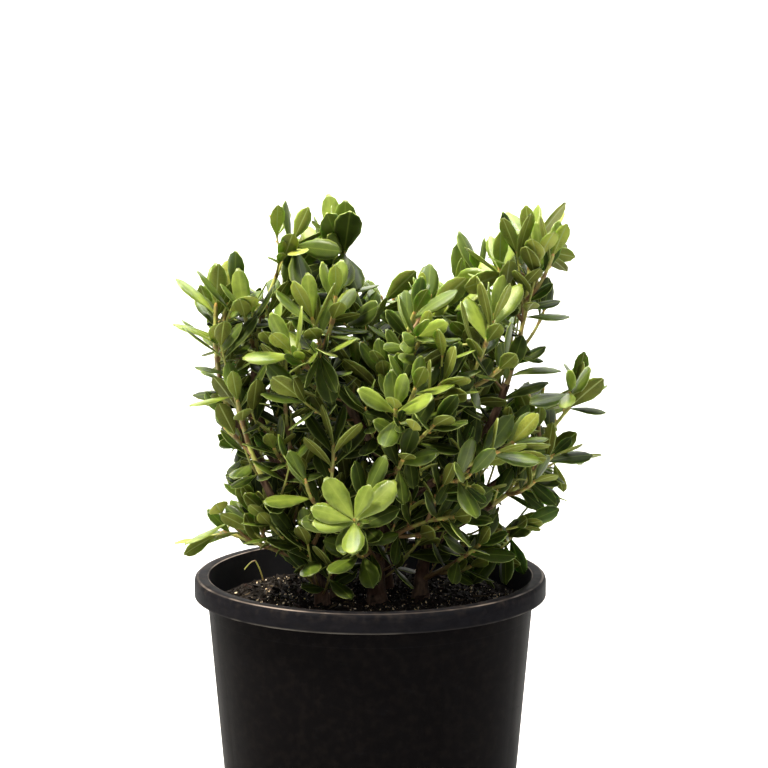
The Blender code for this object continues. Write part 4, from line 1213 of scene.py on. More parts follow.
def litter_tree():
    """Loose grains from a collection, strewn over the marked faces of a bed."""
    node, given = new_tree("litter", {
        "Grains": "Collection", "Density": "Float", "Smallest": "Float", "Largest": "Float",
        "Tilt": "Float", "Lift": "Float", "Reach": "Float", "Seed": "Int", "Finish": "Material"})
    level = node("ShaderNodeVectorMath", (
        node("GeometryNodeInputPosition"), (1.0, 1.0, 0.0)), operation="MULTIPLY")
    radius = node("ShaderNodeVectorMath", (level,), operation="LENGTH")
    inside = node("FunctionNodeCompare", (radius, given["Reach"]), data_type="FLOAT", operation="LESS_THAN")
    top = node("GeometryNodeInputNamedAttribute", {"Name": "top"}, data_type="BOOLEAN")
    under = node("FunctionNodeBooleanMath", (top,), operation="NOT")
    bed = node("GeometryNodeDeleteGeometry", {
        "Geometry": given["Geometry"], "Selection": under}, domain="FACE")
    seed = {"Seed": given["Seed"]}
    points = node("GeometryNodeDistributePointsOnFaces", {
        "Mesh": bed, "Selection": inside, "Density": given["Density"], **seed})
    spin = node("ShaderNodeCombineXYZ", {"X": given["Tilt"], "Y": given["Tilt"], "Z": math.pi})
    back = node("ShaderNodeVectorMath", {0: spin, "Scale": -1.0}, operation="SCALE")
    turn = node("FunctionNodeRandomValue", {0: back, 1: spin, **seed}, data_type="FLOAT_VECTOR")
    size = node("FunctionNodeRandomValue", {
        2: given["Smallest"], 3: given["Largest"], **seed}, data_type="FLOAT")
    kinds = node("GeometryNodeCollectionInfo", {
        "Collection": given["Grains"], "Separate Children": True, "Reset Children": True})
    grains = node("GeometryNodeInstanceOnPoints", {
        "Points": points, "Instance": kinds, "Pick Instance": True, "Rotation": turn, "Scale": size})
    rise = node("ShaderNodeMath", (size, given["Lift"]), operation="MULTIPLY")
    rise = node("ShaderNodeCombineXYZ", {"Z": rise})
    grains = node("GeometryNodeTranslateInstances", {
        "Instances": grains, "Translation": rise, "Local Space": False})
    grains = node("GeometryNodeRealizeInstances", (grains,))
    grains = node("GeometryNodeSetMaterial", {"Geometry": grains, "Material": given["Finish"]})
    return node("NodeGroupOutput", (grains,)).id_data


# ---------------------------------------------------------------- materials
def new_material(name, **values):
    """A material with its shader's constants set: what adds nodes, shader, object coordinates."""
    material = bpy.data.materials.new(name)
    material.use_nodes = True
    shader = material.node_tree.nodes["Principled BSDF"]
    wire(shader, {label.replace("_", " ").title().replace("Ior", "IOR"): v for label, v in values.items()})
    node = functools.partial(add, material.node_tree)
    return material, node, shader, node("ShaderNodeTexCoord").outputs["Object"]


def mottled(name, deep, light, patch, roughness, gloss=0.5, crumbly=False):
    """Two tones in patches; crumbly matter has them sharper, and a relief to match."""
    material, node, shader, place = new_material(name, roughness=roughness, specular_ior_level=gloss)
    detail = {"Detail": 5.0, "Roughness": 0.7} if crumbly else {"Detail": 2.0}
    tone = node("ShaderNodeTexNoise", {"Vector": place, "Scale": 1.0 / patch, **detail})
    spread = node("ShaderNodeMapRange", (tone, 0.35, 0.68)) if crumbly else tone
    wire(shader, {"Base Color": node("ShaderNodeMix", {0: spread, 6: deep, 7: light}, data_type="RGBA")})
    if crumbly:
        relief = node("ShaderNodeBump", {"Strength": 0.7, "Distance": 0.3 * MM, "Height": tone})
        wire(shader, {"Normal": relief})
    return material


def leaf_surface(name, deep, fresh, roughness, gloss, veining):
    """Box leaf, waxy cuticle: glossy, with soft mottling, faint side veins and a paler midrib line."""
    material, node, shader, place = new_material(
        name, specular_ior_level=gloss, subsurface_weight=0.3, subsurface_scale=0.0012,
        subsurface_radius=(0.6, 1.0, 0.15))
    across, along, edge = [node("ShaderNodeAttribute", attribute_name=label).outputs["Fac"]
                           for label in ("across", "along", "edge")]
    patches = node("ShaderNodeTexNoise", {
        "Vector": place, "Scale": 1.0 / (11 * MM), "Detail": 3.0, "Roughness": 0.6})
    off_rib = node("ShaderNodeMath", (across,), operation="ABSOLUTE")
    vein = node("ShaderNodeMath", (along, 21.0), operation="MULTIPLY")
    vein = node("ShaderNodeMath", (off_rib, -5.5, vein), operation="MULTIPLY_ADD")
    vein = node("ShaderNodeMath", (vein, 2 * math.pi), operation="MULTIPLY")
    vein = node("ShaderNodeMath", (vein,), operation="SINE")
    net = node("ShaderNodeTexVoronoi", {
        "Vector": place, "Scale": 1.0 / VEIN_MESH}, feature="DISTANCE_TO_EDGE")
    colour = deep
    for factor, tone in (
        (node("ShaderNodeMapRange", (patches, 0.34, 0.66)), fresh),
        (node("ShaderNodeMapRange", (off_rib, 0.0, 0.3, 0.4, 0.0)), fresh),
        (node("ShaderNodeMapRange", (off_rib, 0.03, 0.07, 0.22, 0.0)), "#8E9C4A"),
        (node("ShaderNodeMapRange", (edge, 0.84, 0.98, 0.0, 0.4)), "#A5B060"),
        (node("ShaderNodeMapRange", (net, 0.0, 0.16, veining, 0.0)), fresh)):
        colour = node("ShaderNodeMix", {0: factor, 6: colour, 7: tone}, data_type="RGBA")
    relief = node("ShaderNodeMath", (vein, 0.3, node("ShaderNodeTexNoise", {
        "Vector": place, "Scale": 1.0 / (1.3 * MM), "Detail": 2.0})), operation="MULTIPLY_ADD")
    wire(shader, {
        "Base Color": colour,
        "Roughness": node("ShaderNodeMapRange", (patches, 0.3, 0.7, roughness - 0.08, roughness + 0.08)),
        "Normal": node("ShaderNodeBump", {"Strength": 0.5, "Distance": 0.09 * MM, "Height": relief})})
    return material


def shoot_material():
    """Young box shoot: green, downy, turning straw-brown in streaks along its corners."""
    material, node, shader, place = new_material("young_shoot", roughness=0.55)
    streaks = node("ShaderNodeTexNoise", {
        "Vector": node("ShaderNodeMapping", {"Vector": place, "Scale": (1.0, 1.0, 0.35)}),
        "Scale": 1.0 / (2.4 * MM), "Detail": 3.0})
    age = node("ShaderNodeAttribute", attribute_name="age").outputs["Fac"]
    old = node("ShaderNodeMath", (streaks, 0.9, age), operation="MULTIPLY_ADD")
    colour = "#8C9240"
    for factor, tone in ((streaks, "#C2C468"), (node("ShaderNodeMapRange", (old, 0.75, 1.2)), "#7A5F3A")):
        colour = node("ShaderNodeMix", {0: factor, 6: colour, 7: tone}, data_type="RGBA")
    wire(shader, {
        "Base Color": colour,
        "Normal": node("ShaderNodeBump", {"Strength": 0.35, "Distance": 0.1 * MM, "Height": streaks})})
    return material


def bark_material():
    """Young box bark: matt, corky and peeling, grey-tan ridges over darker brown furrows, whose dark is
    partly painted shade.
    """
    material, node, shader, place = new_material("box_bark_peeling", roughness=0.88, specular_ior_level=0.25)
    ridge = node("ShaderNodeAttribute", attribute_name="ridge").outputs["Fac"]
    fibre = node("ShaderNodeTexNoise", {
        "Vector": node("ShaderNodeMapping", {"Vector": place, "Scale": (1.0, 1.0, 0.22)}),
        "Scale": 1.0 / (0.9 * MM), "Detail": 4.0, "Roughness": 0.65})
    height = node("ShaderNodeMath", (fibre, 0.5, ridge), operation="MULTIPLY_ADD")
    warm = node("ShaderNodeTexNoise", {
        "Vector": place, "Scale": 1.0 / (9 * MM), "Detail": 2.0})
    # the high ridges lighter and the furrows darker: partly the bark's own colour, partly painted shade in
    # the hollows
    colour = "#1C120C"
    for factor, tone in (
            (node("ShaderNodeMapRange", (height, 0.55, 0.95)), "#7C6452"),
            (node("ShaderNodeMapRange", (warm, 0.45, 0.7, 0.0, 0.7)), "#4A2E20")):
        colour = node("ShaderNodeMix", {0: factor, 6: colour, 7: tone}, data_type="RGBA")
    wire(shader, {
        "Base Color": colour,
        "Normal": node("ShaderNodeBump", {"Strength": 0.8, "Distance": 0.35 * MM, "Height": height})})
    return material


def pot_material():
    """Black polypropylene, injection moulded: satin skin, faint flow streaks, dust and fine scuffs, with
    painted highlight lines on the rim's crest and lower edge, painted sheen on the rim band and painted light
    on the inner wall.
    """
    material, node, shader, place = new_material("moulded_black_plastic", ior=1.49, specular_ior_level=0.008)
    flow = node("ShaderNodeTexNoise", {
        "Vector": node("ShaderNodeMapping", {"Vector": place, "Scale": (1.0, 1.0, 0.06)}),
        "Scale": 1.0 / (7 * MM), "Detail": 4.0, "Roughness": 0.6})
    scuffs = node("ShaderNodeTexNoise", {
        "Vector": node("ShaderNodeMapping", {"Vector": place, "Scale": (0.3, 0.3, 1.0)}),
        "Scale": 1.0 / (2.2 * MM), "Detail": 6.0, "Roughness": 0.75})
    worn = node("ShaderNodeMapRange", (scuffs, 0.58, 0.72))
    height = node("ShaderNodeSeparateXYZ", (place,)).outputs["Z"]
    level = node("ShaderNodeVectorMath", (place, (1.0, 1.0, 0.0)), operation="MULTIPLY")
    radius = node("ShaderNodeVectorMath", (level,), operation="LENGTH")
    # dust settles towards the rim's top
    dusty = node("ShaderNodeMapRange", (height, POT_HEIGHT - 4 * MM, POT_HEIGHT, 0.02, 0.12))
    dust = node("ShaderNodeMapRange", (node("ShaderNodeTexNoise", {
        "Vector": place, "Scale": 1.0 / (3.5 * MM), "Detail": 5.0}), 0.46, 0.74))
    dust = node("ShaderNodeMath", (dust, dusty), operation="MULTIPLY")
    # painted light: the inner wall above the mix is a lighter grey, as if lit
    inner_skin = WALL_TOP_RADIUS - WALL
    inside = node("ShaderNodeMapRange", (radius, inner_skin, inner_skin + 0.2 * MM, 1.0, 0.0))
    above_mix = node("ShaderNodeMath", (height, MIX_EDGE - 2 * MM), operation="GREATER_THAN")
    inside = node("ShaderNodeMath", (inside, above_mix), operation="MULTIPLY")
    # the rolled rim, outside the wall and above its lower edge
    outside = node("ShaderNodeMapRange", (radius, inner_skin + 0.2 * MM, WALL_TOP_RADIUS + 0.3 * MM))
    edge = POT_HEIGHT - RIM_SKIRT
    band = node("ShaderNodeMapRange", (height, edge - MM, edge))
    band = node("ShaderNodeMath", (band, outside), operation="MULTIPLY")
    # painted highlights: a thin light line along its crest and another along its lower edge, broken into
    # stretches in places
    highlight_stretches = node("ShaderNodeMapRange", (node("ShaderNodeTexNoise", {
        "Vector": place, "Scale": 1.0 / (26 * MM), "Detail": 3.0}), 0.42, 0.6, 0.12, 1.0))
    crest_highlight = node("ShaderNodeMath", (height, POT_HEIGHT - CREST_HIGHLIGHT_DROP), operation="SUBTRACT")
    crest_highlight = node("ShaderNodeMath", (crest_highlight,), operation="ABSOLUTE")
    crest_highlight = node("ShaderNodeMapRange", (crest_highlight, 0.06 * MM, CREST_HIGHLIGHT_DROP, 1.0, 0.0))
    crest_highlight = node("ShaderNodeMath", (crest_highlight, highlight_stretches), operation="MULTIPLY")
    lower_edge_highlight = node("ShaderNodeMapRange", (height, edge + 0.7 * MM, edge, 0.0, 0.8))
    lower_edge_highlight = node("ShaderNodeMath", (lower_edge_highlight, band), operation="MULTIPLY")
    lower_edge_highlight = node("ShaderNodeMath", (lower_edge_highlight, highlight_stretches), operation="MULTIPLY")
    # painted sheen: the rim band is a lighter bluish grey than the wall, mottled by the scuffs
    rim = node("ShaderNodeMix", {0: scuffs, 6: "#0A0A0C", 7: "#1D1D21"}, data_type="RGBA")
    rough = node("ShaderNodeMapRange", (flow, 0.3, 0.7, 0.4, 0.5))
    rough = node("ShaderNodeMath", (worn, 0.14, rough), operation="MULTIPLY_ADD")
    relief = node("ShaderNodeMath", (flow, 1.5, node("ShaderNodeTexNoise", {
        "Vector": place, "Scale": 1.0 / (0.8 * MM), "Detail": 2.0})), operation="MULTIPLY_ADD")
    colour = "#0A090A"
    # the crest and lower-edge lines are painted highlights, the rim band's tone is painted sheen and the
    # inner wall's is painted light
    for factor, tone in ((flow, "#0D0C0D"), (worn, "#101012"), (inside, "#232326"), (band, rim),
                         (crest_highlight, "#8C8078"), (lower_edge_highlight, "#6C6862"), (dust, "#6B5E52")):
        colour = node("ShaderNodeMix", {0: factor, 6: colour, 7: tone}, data_type="RGBA")
    wire(shader, {
        "Base Color": colour,
        "Roughness": node("ShaderNodeMath", (dust, 0.4, rough), operation="MULTIPLY_ADD"),
        "Normal": node("ShaderNodeBump", {"Strength": 0.25, "Distance": 0.08 * MM, "Height": relief})})
    return material


# ---------------------------------------------------------------- templates
def blade_mesh(name, rows, widths, upper, under):
    """A leaf of unit length along X, its face up, closed by a rim: its sides are marked by number."""
    half = LEAF_WIDTH_SHARE / 2
    corners, edges, faces, sides = [], [], [], []

    def corner(row, share, height):
        notch = BLADE_NOTCH * max(0.0, 1 - abs(share) / NOTCH_HALF) if rows[row] == 1.0 else 0.0
        along = rows[row] - BLADE_ROUNDING * share ** 2 * rows[row] ** 3 - notch
        across = share * widths[row]
        corners.append((along, across * half, height - half * LEAF_CUP * across ** 2))
        edges.append(abs(share))
        return len(corners) - 1

    def side(ring, number):
        faces.append(ring)
        sides.append(number)

    tops, bottoms = [], []
    for row in range(len(rows)):
        top = []
        for share in upper:
            sink = MIDRIB_SINK if 0 < abs(share) < RIB_HALF else 0
            top.append(corner(row, share, blend(BLADE_THICK, BLADE_EDGE_THICK, abs(share)) - sink))
        tops.append(top)
        bottoms.append([corner(row, share * UNDER_BREADTH, -MIDRIB_RAISE if abs(share) < RIB_HALF else 0.0)
                        for share in under])
    for row in range(len(rows) - 1):
        (top, top_on), (low, low_on) = tops[row:row + 2], bottoms[row:row + 2]
        for k in range(len(upper) - 1):
            side((top[k], top_on[k], top_on[k + 1], top[k + 1]), MIDRIB if row == 0 else UPPER)
        for k in range(len(under) - 1):
            rib = 0 < abs(under[k]) < RIB_HALF and 0 < abs(under[k + 1]) < RIB_HALF
            side((low[k], low[k + 1], low_on[k + 1], low_on[k]), MIDRIB if rib or row == 0 else UNDERSIDE)
        side((top[0], low[0], low_on[0], top_on[0]), MARGIN)
        side((top[-1], top_on[-1], low_on[-1], low[-1]), MARGIN)
    for row, number in ((0, MIDRIB), (-1, MARGIN)):
        ring = tops[row] + bottoms[row][::-1]
        side(ring[::-1] if row else ring, number)
    template = mesh_object(name, corners, faces=faces)
    put_attribute(template.data, "edge", "FLOAT", edges)
    shape = bmesh.new()
    shape.from_mesh(template.data)
    bmesh.ops.recalc_face_normals(shape, faces=shape.faces)
    shape.to_mesh(template.data)
    shape.free()
    put_attribute(template.data, "side", "INT", sides, "FACE")
    put_attribute(template.data, "along", "FLOAT", [c[0] for c in corners])
    put_attribute(template.data, "across", "FLOAT", [c[1] / half for c in corners])
    return template


def bud_template():
    """A pointed bud of unit length along X."""
    points = [Vector((along, 0.0, 0.0)) for along, _ in BUD_OUTLINE]
    radii = [BUD_WIDTH / BUD_LENGTH / 2 * share for _, share in BUD_OUTLINE]
    corners, faces = tube_shell(points, radii, BUD_SIDES)
    template = mesh_object("bud_template", corners, faces=faces)
    put_attribute(template.data, "side", "INT", [0] * len(faces), "FACE")
    put_attribute(template.data, "along", "FLOAT", [0.0] * len(corners))
    return template


def grain_kinds(name, count, box, corners, seed):
    """A collection of chunks: the hulls of a few seeded points in a box of unit length."""
    chance = random.Random(seed)
    home = bpy.data.collections.new(name)
    for number in range(count):
        shape = bmesh.new()
        for _ in range(corners):
            shape.verts.new([chance.uniform(-0.5, 0.5) * side for side in box])
        bmesh.ops.convex_hull(shape, input=shape.verts)
        loose = [v for v in shape.verts if not v.link_faces]
        bmesh.ops.delete(shape, geom=loose, context="VERTS")
        mesh = mesh_of("%s_%d" % (name, number), shape)
        home.objects.link(bpy.data.objects.new(mesh.name, mesh))
    return home


# ---------------------------------------------------------------- pot and potting mix
def arc(centre_radius, centre_height, radius, first, last, steps):
    """Profile points on an arc, between two angles in degrees from the outward level."""
    angles = [math.radians(blend(first, last, i / steps)) for i in range(steps + 1)]
    return [(centre_radius + radius * math.cos(a), centre_height + radius * math.sin(a)) for a in angles]


def pot_profile():
    """From the floor's middle up the inside, over the rolled rim and down the outside."""
    skirt_end = POT_HEIGHT - RIM_SKIRT
    skirt_inside = RIM_RADIUS - WALL
    under_rim = POT_HEIGHT - WALL
    return [
        (0.0, FLOOR), (pot_inner_radius(FLOOR), FLOOR),
        *arc(pot_inner_radius(POT_HEIGHT) + LIP_ROUND, POT_HEIGHT - LIP_ROUND, LIP_ROUND, 180, 90, LIP_STEPS),
        *arc(RIM_RADIUS - RIM_ROUND, POT_HEIGHT - RIM_ROUND, RIM_ROUND, 90, 0, RIM_STEPS),
        (RIM_RADIUS, skirt_end), (skirt_inside, skirt_end), (skirt_inside, under_rim - WALL),
        (pot_outer_radius(under_rim), under_rim - WALL),
        *arc(BASE_RADIUS - BASE_ROUND, BASE_ROUND, BASE_ROUND, 0, -90, BASE_STEPS),
        (0.0, 0.0)]


def turned_piece(name, profile, steps):
    """A profile of radius and height turned once round Z, closed at both ends on the axis."""
    shape = bmesh.new()
    rings = []
    for radius, height in profile:
        if radius == 0.0:
            rings.append([shape.verts.new((0.0, 0.0, height))] * steps)
            continue
        angles = [2 * math.pi * k / steps for k in range(steps)]
        rings.append([shape.verts.new((radius * math.cos(a), radius * math.sin(a), height)) for a in angles])
    for inner, outer in zip(rings, rings[1:]):
        for k in range(steps):
            corners = [inner[k], inner[(k + 1) % steps], outer[(k + 1) % steps], outer[k]]
            shape.faces.new(dict.fromkeys(corners))
    bmesh.ops.recalc_face_normals(shape, faces=shape.faces)
    return placed(name, mesh_of(name, shape))


def make_pot(finish):
    pot = turned_piece("nursery_pot", pot_profile(), POT_FINE_STEPS)
    joined = bmesh.new()
    middle = BASE_RADIUS + BASE_ROUND - DRAIN_REACH / 2
    for number in range(DRAINS):
        place = (Matrix.Rotation(2 * math.pi * (number + 0.5) / DRAINS, 4, "Z")
                 @ Matrix.Translation((middle, 0.0, 0.0))
                 @ Matrix.Diagonal((DRAIN_REACH, DRAIN_WIDTH, 2 * DRAIN_HEIGHT, 1.0)))
        slot = bmesh.new()
        bmesh.ops.create_cube(slot, size=1.0, matrix=place)
        bmesh.ops.bevel(slot, geom=slot.edges[:], offset=DRAIN_ROUND, segments=2, affect="EDGES", profile=0.5)
        joined.from_mesh(mesh_of("drain_slot", slot))
    cutter = placed("drain_cutter", mesh_of("drain_cutter", joined))
    cut = pot.modifiers.new("drains", "BOOLEAN")
    cut.operation = "DIFFERENCE"
    cut.object = cutter
    cut.solver = "EXACT"
    keep_evaluated(pot, cut)
    bpy.data.objects.remove(cutter)
    smooth(pot.data, finish, SHARP_ANGLE)
    finish_piece(pot, "pot_plastic", "pot")


def make_mix(finish):
    """The mix's lumpy top over the part's own solid of it."""
    bottom = FLOOR + GAP
    edge = pot_inner_radius(MIX_EDGE) - GAP
    radii = [edge * k / MIX_RINGS for k in range(MIX_RINGS + 1)]
    profile = [(radius, mix_height(radius)) for radius in radii]
    profile += [(pot_inner_radius(bottom) - GAP, bottom), (0.0, bottom)]
    mix = turned_piece("potting_mix_bed", profile, MIX_STEPS)
    low = MIX_EDGE - MM
    for vertex in mix.data.vertices:
        if vertex.co.z > low:
            lumps = noise.fractal(vertex.co / MIX_LUMP_SIZE, 1.0, 2.0, 4)
            fade = min(1.0, (edge - vertex.co.xy.length) / MIX_FADE + MIX_EDGE_LUMPS)
            vertex.co.z += MIX_LUMP * lumps * fade
    tops = [f.normal.z > TOP_SLOPE and f.center.z > low - TOP_DROP for f in mix.data.polygons]
    put_attribute(mix.data, "top", "BOOLEAN", tops, "FACE")
    smooth(mix.data, finish, MIX_SHARP_ANGLE)
    finish_piece(mix, "potting_mix", "potting_mix")
    return mix


def make_litter(bed, finishes):
    """Bark chips, a few redder ones, crumbs, fibres and white perlite, strewn on the mix."""
    tree = litter_tree()
    kinds = {name: grain_kinds(name, *chunk) for name, chunk in CHUNKS.items()}
    for name, (kind, density, smallest, largest, tilt, lift, margin, seed, finish) in LITTER.items():
        grains = placed(name, bed.data.copy())
        run_tree(grains, tree, {
            "Grains": kinds[kind], "Density": density, "Smallest": smallest, "Largest": largest,
            "Tilt": tilt, "Lift": lift, "Reach": pot_inner_radius(MIX_EDGE) - margin, "Seed": seed,
            "Finish": finishes[finish]})
        finish_piece(grains, "potting_mix")


# ---------------------------------------------------------------- wood and shoots
def limb_piece(name, limbs, step, tree, sides, squareness, relief, ridge, finish):
    """Limbs as tubes of one piece; each is its path, ends, and a radius and age by distance."""
    corners, edges, thick, ages = [], [], [], []
    for path, first, last, radius_at, age_at in limbs:
        count = max(3, round((last - first) / step))
        for i in range(count + 1):
            distance = blend(first, last, i / count)
            point, heading, _ = path.at(distance)
            beyond = min(distance, 0.0) + max(distance - path.length, 0.0)
            if i:
                edges.append((len(corners) - 1, len(corners)))
            corners.append(point + heading * beyond)
            thick.append(radius_at(distance))
            ages.append(age_at(distance))
    obj = mesh_object(name, corners, edges)
    put_attribute(obj.data, "thick", "FLOAT", thick)
    put_attribute(obj.data, "age", "FLOAT", ages)
    return run_tree(obj, tree, {
        "Sides": sides, "Squareness": squareness, "Relief": relief,
        "Ridge Width": ridge[0], "Ridge Length": ridge[1], "Skin": finish})


def stem_line(name):
    path = stem_path(name)

    def girth(distance):
        return stem_radius(name, held(distance / path.length))

    return path, -STEM_SINK, path.length + GAP, girth, lambda distance: 1.0


def bough_line(path, end):
    """A bough that swells into a collar towards its foot."""
    def girth(distance):
        collar = 1 + COLLAR_SWELL * math.exp(-max(distance, 0.0) / COLLAR_LENGTH)
        return blend(BOUGH_FOOT_RADIUS, BOUGH_TIP_RADIUS, held(distance / end)) * collar

    return path, -COLLAR_REACH, end + GAP, girth, lambda distance: 1.0


def shoot_line(path, first, foot_radius, tip_radius, leaves=()):
    """A young shoot that thins to its tip and swells where its leaves stand."""
    joints = [path.foot_of(leaf.root) for leaf in leaves]

    def swell(distance):
        return min(sum(math.exp(-((distance - joint) / NODE_REACH) ** 2) for joint in joints), 1.0)

    def girth(distance):
        share = held((distance - first) / (path.length - first))
        return blend(foot_radius, tip_radius, share ** 0.5) * (1 + NODE_SWELL * swell(distance))

    def age(distance):
        return 1 - distance / path.length + NODE_AGE * swell(distance)

    return path, first, path.length, girth, age


def make_bark(limbs, tree, finish):
    boughs = {name + "_bough": limb for name, limb in limbs.items() if limb[1] > 0}
    lines = [stem_line(name) for name in STEMS] + [bough_line(*limb) for limb in boughs.values()]
    bark = limb_piece("bark", lines, BARK_STEP, tree, BARK_SIDES, 0.0, BARK_RELIEF, BARK_RIDGE, finish)
    finish_piece(bark, "box_bark", *STEMS, *boughs)


def make_shoots(crown, sprigs, tree, finish):
    """All young shoots, and a thin bent weed that has come up through the mix at the left."""
    lines = []
    for _, start, twigs, leaves in crown.values():
        for number, twig, _ in twigs:
            foot = start - GAP if start else -COLLAR_REACH
            own = [leaf for leaf in leaves if leaf.spray[1] == number]
            lines.append(shoot_line(twig, 0.0 if number else foot,
                                    TWIG_RADIUS if number else LEADER_RADIUS, SHOOT_END_RADIUS, own))
    lines += [shoot_line(sprig, 0.0, SPUR_RADIUS, SPUR_TIP_RADIUS) for sprig in sprigs]
    weed = [shoot_line(Path(*[Vector(point) * MM for point in points]), 0.0, radius, radius * WEED_THINNING)
            for points, radius in SEEDLING]
    for name, rows, squareness in (("young_shoots", lines, SHOOT_SQUARENESS), ("bent_seedling", weed, 0.0)):
        piece = limb_piece(name, rows, SHOOT_STEP, tree, SHOOT_SIDES, squareness, SHOOT_RELIEF,
                           SHOOT_RIDGE, finish)
        finish_piece(piece, "box_foliage")


# ---------------------------------------------------------------- leaves and buds
def sky_seen(leaves):
    """For each leaf, the share of a few upward rays, leaning towards the key light, that no other leaf stops:
    the fewer, the darker its painted shade.
    """
    corners, faces = [], []
    for leaf in leaves:
        more, sides = leaf.shell()
        faces += [tuple(k + len(corners) for k in side) for side in sides]
        corners += more
    tree = BVHTree.FromPolygons(corners, faces)
    rays = [Vector(ray).normalized() for ray in SKY_RAYS]
    shares = []
    for leaf in leaves:
        middle = leaf.point(LEAF_WIDEST, 0.0)
        clear = sum(1 for ray in rays if tree.ray_cast(middle + ray * RAY_START, ray, RAY_REACH)[0] is None)
        shares.append(clear / len(rays))
    return shares


def deal_tones(leaves):
    """A tone for each leaf, as painted shade and light: sprays in the open are brighter, and so are their
    youngest pairs.
    """
    shares = sky_seen(leaves)
    sprays = {}
    for leaf, share in zip(leaves, shares):
        sprays.setdefault(leaf.spray, []).append(share)
    chance = random.Random(TONE_SEED)
    sway = {spray: chance.uniform(-TONE_SWAY, TONE_SWAY) for spray in sprays}
    tones = []
    for leaf, share in zip(leaves, shares):
        mean = sum(sprays[leaf.spray]) / len(sprays[leaf.spray])
        light = (mean + share) / 2 + sway[leaf.spray] + chance.uniform(-TONE_SWAY, TONE_SWAY) / 2
        light += YOUNG_LIFT if leaf.pair == 0 else 0.0
        tone = sum(light > step for step in TONE_STEPS)
        tones.append(max(tone, 1) if share > OPEN_SHARE else tone)
    return tones


def strewn(name, tree, corners, turns, sizes, drops, template, finishes):
    """A template on every corner, turned, sized and curled as its row says."""
    obj = mesh_object(name, corners)
    put_attribute(obj.data, "turn", "QUATERNION", turns)
    put_attribute(obj.data, "size", "FLOAT_VECTOR", sizes)
    put_attribute(obj.data, "drop", "FLOAT_VECTOR", drops)
    return run_tree(obj, tree, {"Blade": template, **dict(zip(BLADE_FINISHES, finishes))})


def leaf_piece(name, tree, leaves, template, finishes, chance):
    """Blades laid with their X along the leaf and their Z up its face."""
    turns, sizes = [], []
    for leaf in leaves:
        side = leaf.face.cross(leaf.heading)
        turns.append(Matrix((leaf.heading, side, leaf.face)).transposed().to_quaternion())
        breadth = chance.uniform(*STOUTNESS)
        if leaf.spray[0] == "front_spray":
            breadth = FRONT_SPRAY_BREADTH
        sizes.append((leaf.length, leaf.length * breadth, leaf.length))
    drops = [leaf.face * (-leaf.curl * leaf.length) for leaf in leaves]
    return strewn(name, tree, [leaf.root for leaf in leaves], turns, sizes, drops, template, finishes)


def make_leaves(crown, leaves, tree, finishes):
    """The leaves in one piece for each tone, the short ones with the plainer blade."""
    blades = (blade_mesh("blade", BLADE_ROWS, BLADE_WIDTHS, BLADE_UPPER, BLADE_UNDER),
              blade_mesh("small_blade", SMALL_ROWS, SMALL_WIDTHS, SMALL_UPPER, SMALL_UNDER))
    tones = deal_tones(leaves)
    chance = random.Random(BLADE_SEED)
    masses = [name + "_foliage" for name in crown]
    for number, (tone, colours) in enumerate(TONES.items()):
        skins = (leaf_surface("leaf_upper_" + tone, *colours[0], *UPPER_SKIN[tone]),
                 leaf_surface("leaf_underside_" + tone, *colours[1], *UNDER_SKIN),
                 finishes["leaf_margin"], finishes["leaf_midrib"])
        halves = []
        for blade in blades:
            small = blade is blades[1]
            chosen = [leaf for leaf, dealt in zip(leaves, tones)
                      if dealt == number and (leaf.length < SMALL_LEAF) == small]
            if chosen:
                halves.append(leaf_piece(blade.name + tone, tree, chosen, blade, skins, chance))
        piece = halves[0]
        with bpy.context.temp_override(active_object=piece, selected_editable_objects=halves,
                                       selected_objects=halves):
            bpy.ops.object.join()
        piece.name = piece.data.name = "leaves_" + tone
        finish_piece(piece, "box_foliage", *masses[number::len(TONES)])
    for blade in blades:
        bpy.data.objects.remove(blade)


def make_buds(crown, sprigs, tree, finish):
    """A bud at every tip, and smaller ones in the axils of the topmost leaves."""
    template = bud_template()
    chance = random.Random(BUD_SEED)
    corners, turns, sizes = [], [], []
    tips = [(twig, 1.0) for _, _, twigs, _ in crown.values() for _, twig, _ in twigs]
    tips += [(sprig, SPRIG_BUD_SCALE) for sprig in sprigs]
    for path, scale in tips:
        point, heading, _ = path.at(path.length)
        corners.append(point - heading * BUD_LENGTH * BUD_SINK)
        turns.append(heading.to_track_quat("X", "Z"))
        sizes.append([BUD_LENGTH * scale * chance.uniform(*TIP_BUD_SPREAD)] * 3)
        for gap in TIP_GAPS[1:3]:
            point, heading, side = path.at(path.length - gap * 2)
            out = turned(side, heading, chance.uniform(0, 360))
            corners.append(point + out * SHOOT_TIP_RADIUS * AXIL_BUD_STAND)
            turns.append((heading + out * AXIL_BUD_LEAN).normalized().to_track_quat("X", "Z"))
            sizes.append([BUD_LENGTH * scale * chance.uniform(*AXIL_BUD_SPREAD)] * 3)
    drops = [(0.0, 0.0, 0.0)] * len(corners)
    buds = strewn("buds", tree, corners, turns, sizes, drops, template, [finish] * len(BLADE_FINISHES))
    bpy.data.objects.remove(template)
    finish_piece(buds, "box_foliage")


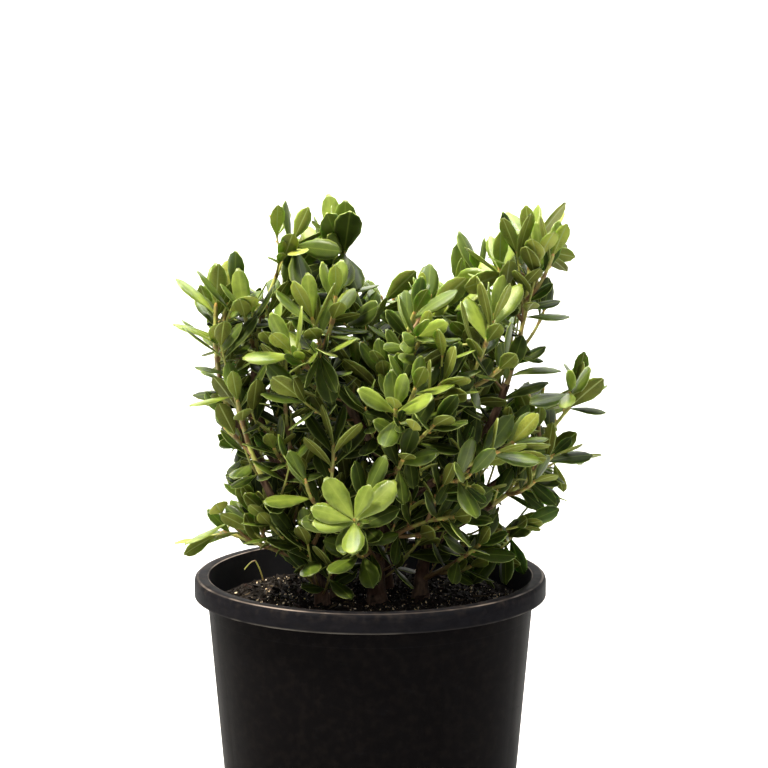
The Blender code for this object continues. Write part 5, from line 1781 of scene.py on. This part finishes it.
# ---------------------------------------------------------------- studio
def make_studio(paper):
    """A pale floor that sweeps up behind, a key light high on the left, and three softer ones."""
    profile = [(-FLOOR_REACH, 0.0), (SWEEP_START, 0.0)]
    for k in range(1, SWEEP_STEPS + 1):
        angle = math.radians(90 * k / SWEEP_STEPS)
        profile.append((SWEEP_START + SWEEP_RADIUS * math.sin(angle), SWEEP_RADIUS * (1 - math.cos(angle))))
    profile.append((SWEEP_START + SWEEP_RADIUS, BACK_HEIGHT))
    corners = [(side * FLOOR_REACH * 2, y, z) for y, z in profile for side in (-1, 1)]
    faces = [(2 * k, 2 * k + 1, 2 * k + 3, 2 * k + 2) for k in range(len(profile) - 1)]
    sweep = mesh_object("studio_sweep", corners, faces=faces)
    sweep.data.materials.append(paper)
    sweep.data.shade_smooth()
    for name, (place, target, size, power, colour) in LIGHTS.items():
        lamp = bpy.data.lights.new(name, "AREA")
        lamp.shape = "RECTANGLE"
        lamp.size, lamp.size_y = size
        lamp.energy = power
        lamp.color = linear(colour)[:3]
        aim(placed(name, lamp), place, Vector(target) - Vector(place))
    world = bpy.data.worlds.new("studio_air")
    world.use_nodes = True
    wire(world.node_tree.nodes["Background"], {"Color": "#FFFFFF", "Strength": AIR_STRENGTH})
    bpy.context.scene.world = world
    bpy.context.scene.view_settings.view_transform = "Standard"


def aim(obj, place, way):
    """Puts a lamp or the camera at its place, looking a given way."""
    obj.location = place
    obj.rotation_euler = way.to_track_quat("-Z", "Y").to_euler()


def make_camera():
    lens = bpy.data.cameras.new("front_camera")
    lens.lens = CAMERA_LENS
    lens.sensor_width = CAMERA_SENSOR
    camera = placed("front_camera", lens)
    tilt = math.radians(CAMERA_TILT)
    yaw = math.radians(CAMERA_YAW)
    level = Vector((math.sin(yaw) * math.cos(tilt), math.cos(yaw) * math.cos(tilt), -math.sin(tilt)))
    aim(camera, CAMERA_PLACE, level)
    bpy.context.scene.camera = camera


# ---------------------------------------------------------------- assembly
def grow_all():
    """The whole crown: limbs, the part's own masses, all finer shoots and every leaf."""
    limbs, crown = grow_crown()
    crowd = fine_crowd(limbs, crown)
    leaves = []
    for name, (path, start, twigs, grown) in crown.items():
        kept = [leaf for leaf in grown if not left_open(leaf)]
        leafy = {leaf.spray[1] for leaf in kept} | {0}
        crown[name] = (path, start, [twig for twig in twigs if twig[0] in leafy], kept)
        leaves += kept
    sprigs = [front_spray(limbs["front_low"][0], crowd, leaves)]
    laid_leaves(limbs, crowd, leaves)
    sprigs += further_twigs(limbs, crowd, leaves)
    for name, (_, start, twigs, _) in crown.items():
        lower_leaves(name, start, twigs, crowd, leaves)
    for name, (_, start, twigs, _) in crown.items():
        sprigs += axil_shoots(name, start, twigs, crowd, leaves)
    sprigs += inner_shoots(limbs, crowd, leaves)
    return limbs, crown, sprigs, leaves


def main():
    limbs, crown, sprigs, leaves = grow_all()
    finishes = {name: mottled(name, *values) for name, values in FINISHES.items()}
    make_pot(pot_material())
    make_litter(make_mix(finishes["potting_mix_bed"]), finishes)
    skin = limb_tree()
    make_bark(limbs, skin, bark_material())
    make_shoots(crown, sprigs, skin, shoot_material())
    foliage = foliage_tree()
    make_leaves(crown, leaves, foliage, finishes)
    make_buds(crown, sprigs, foliage, finishes["bud_scale"])
    make_studio(finishes["studio_paper"])
    make_camera()


main()
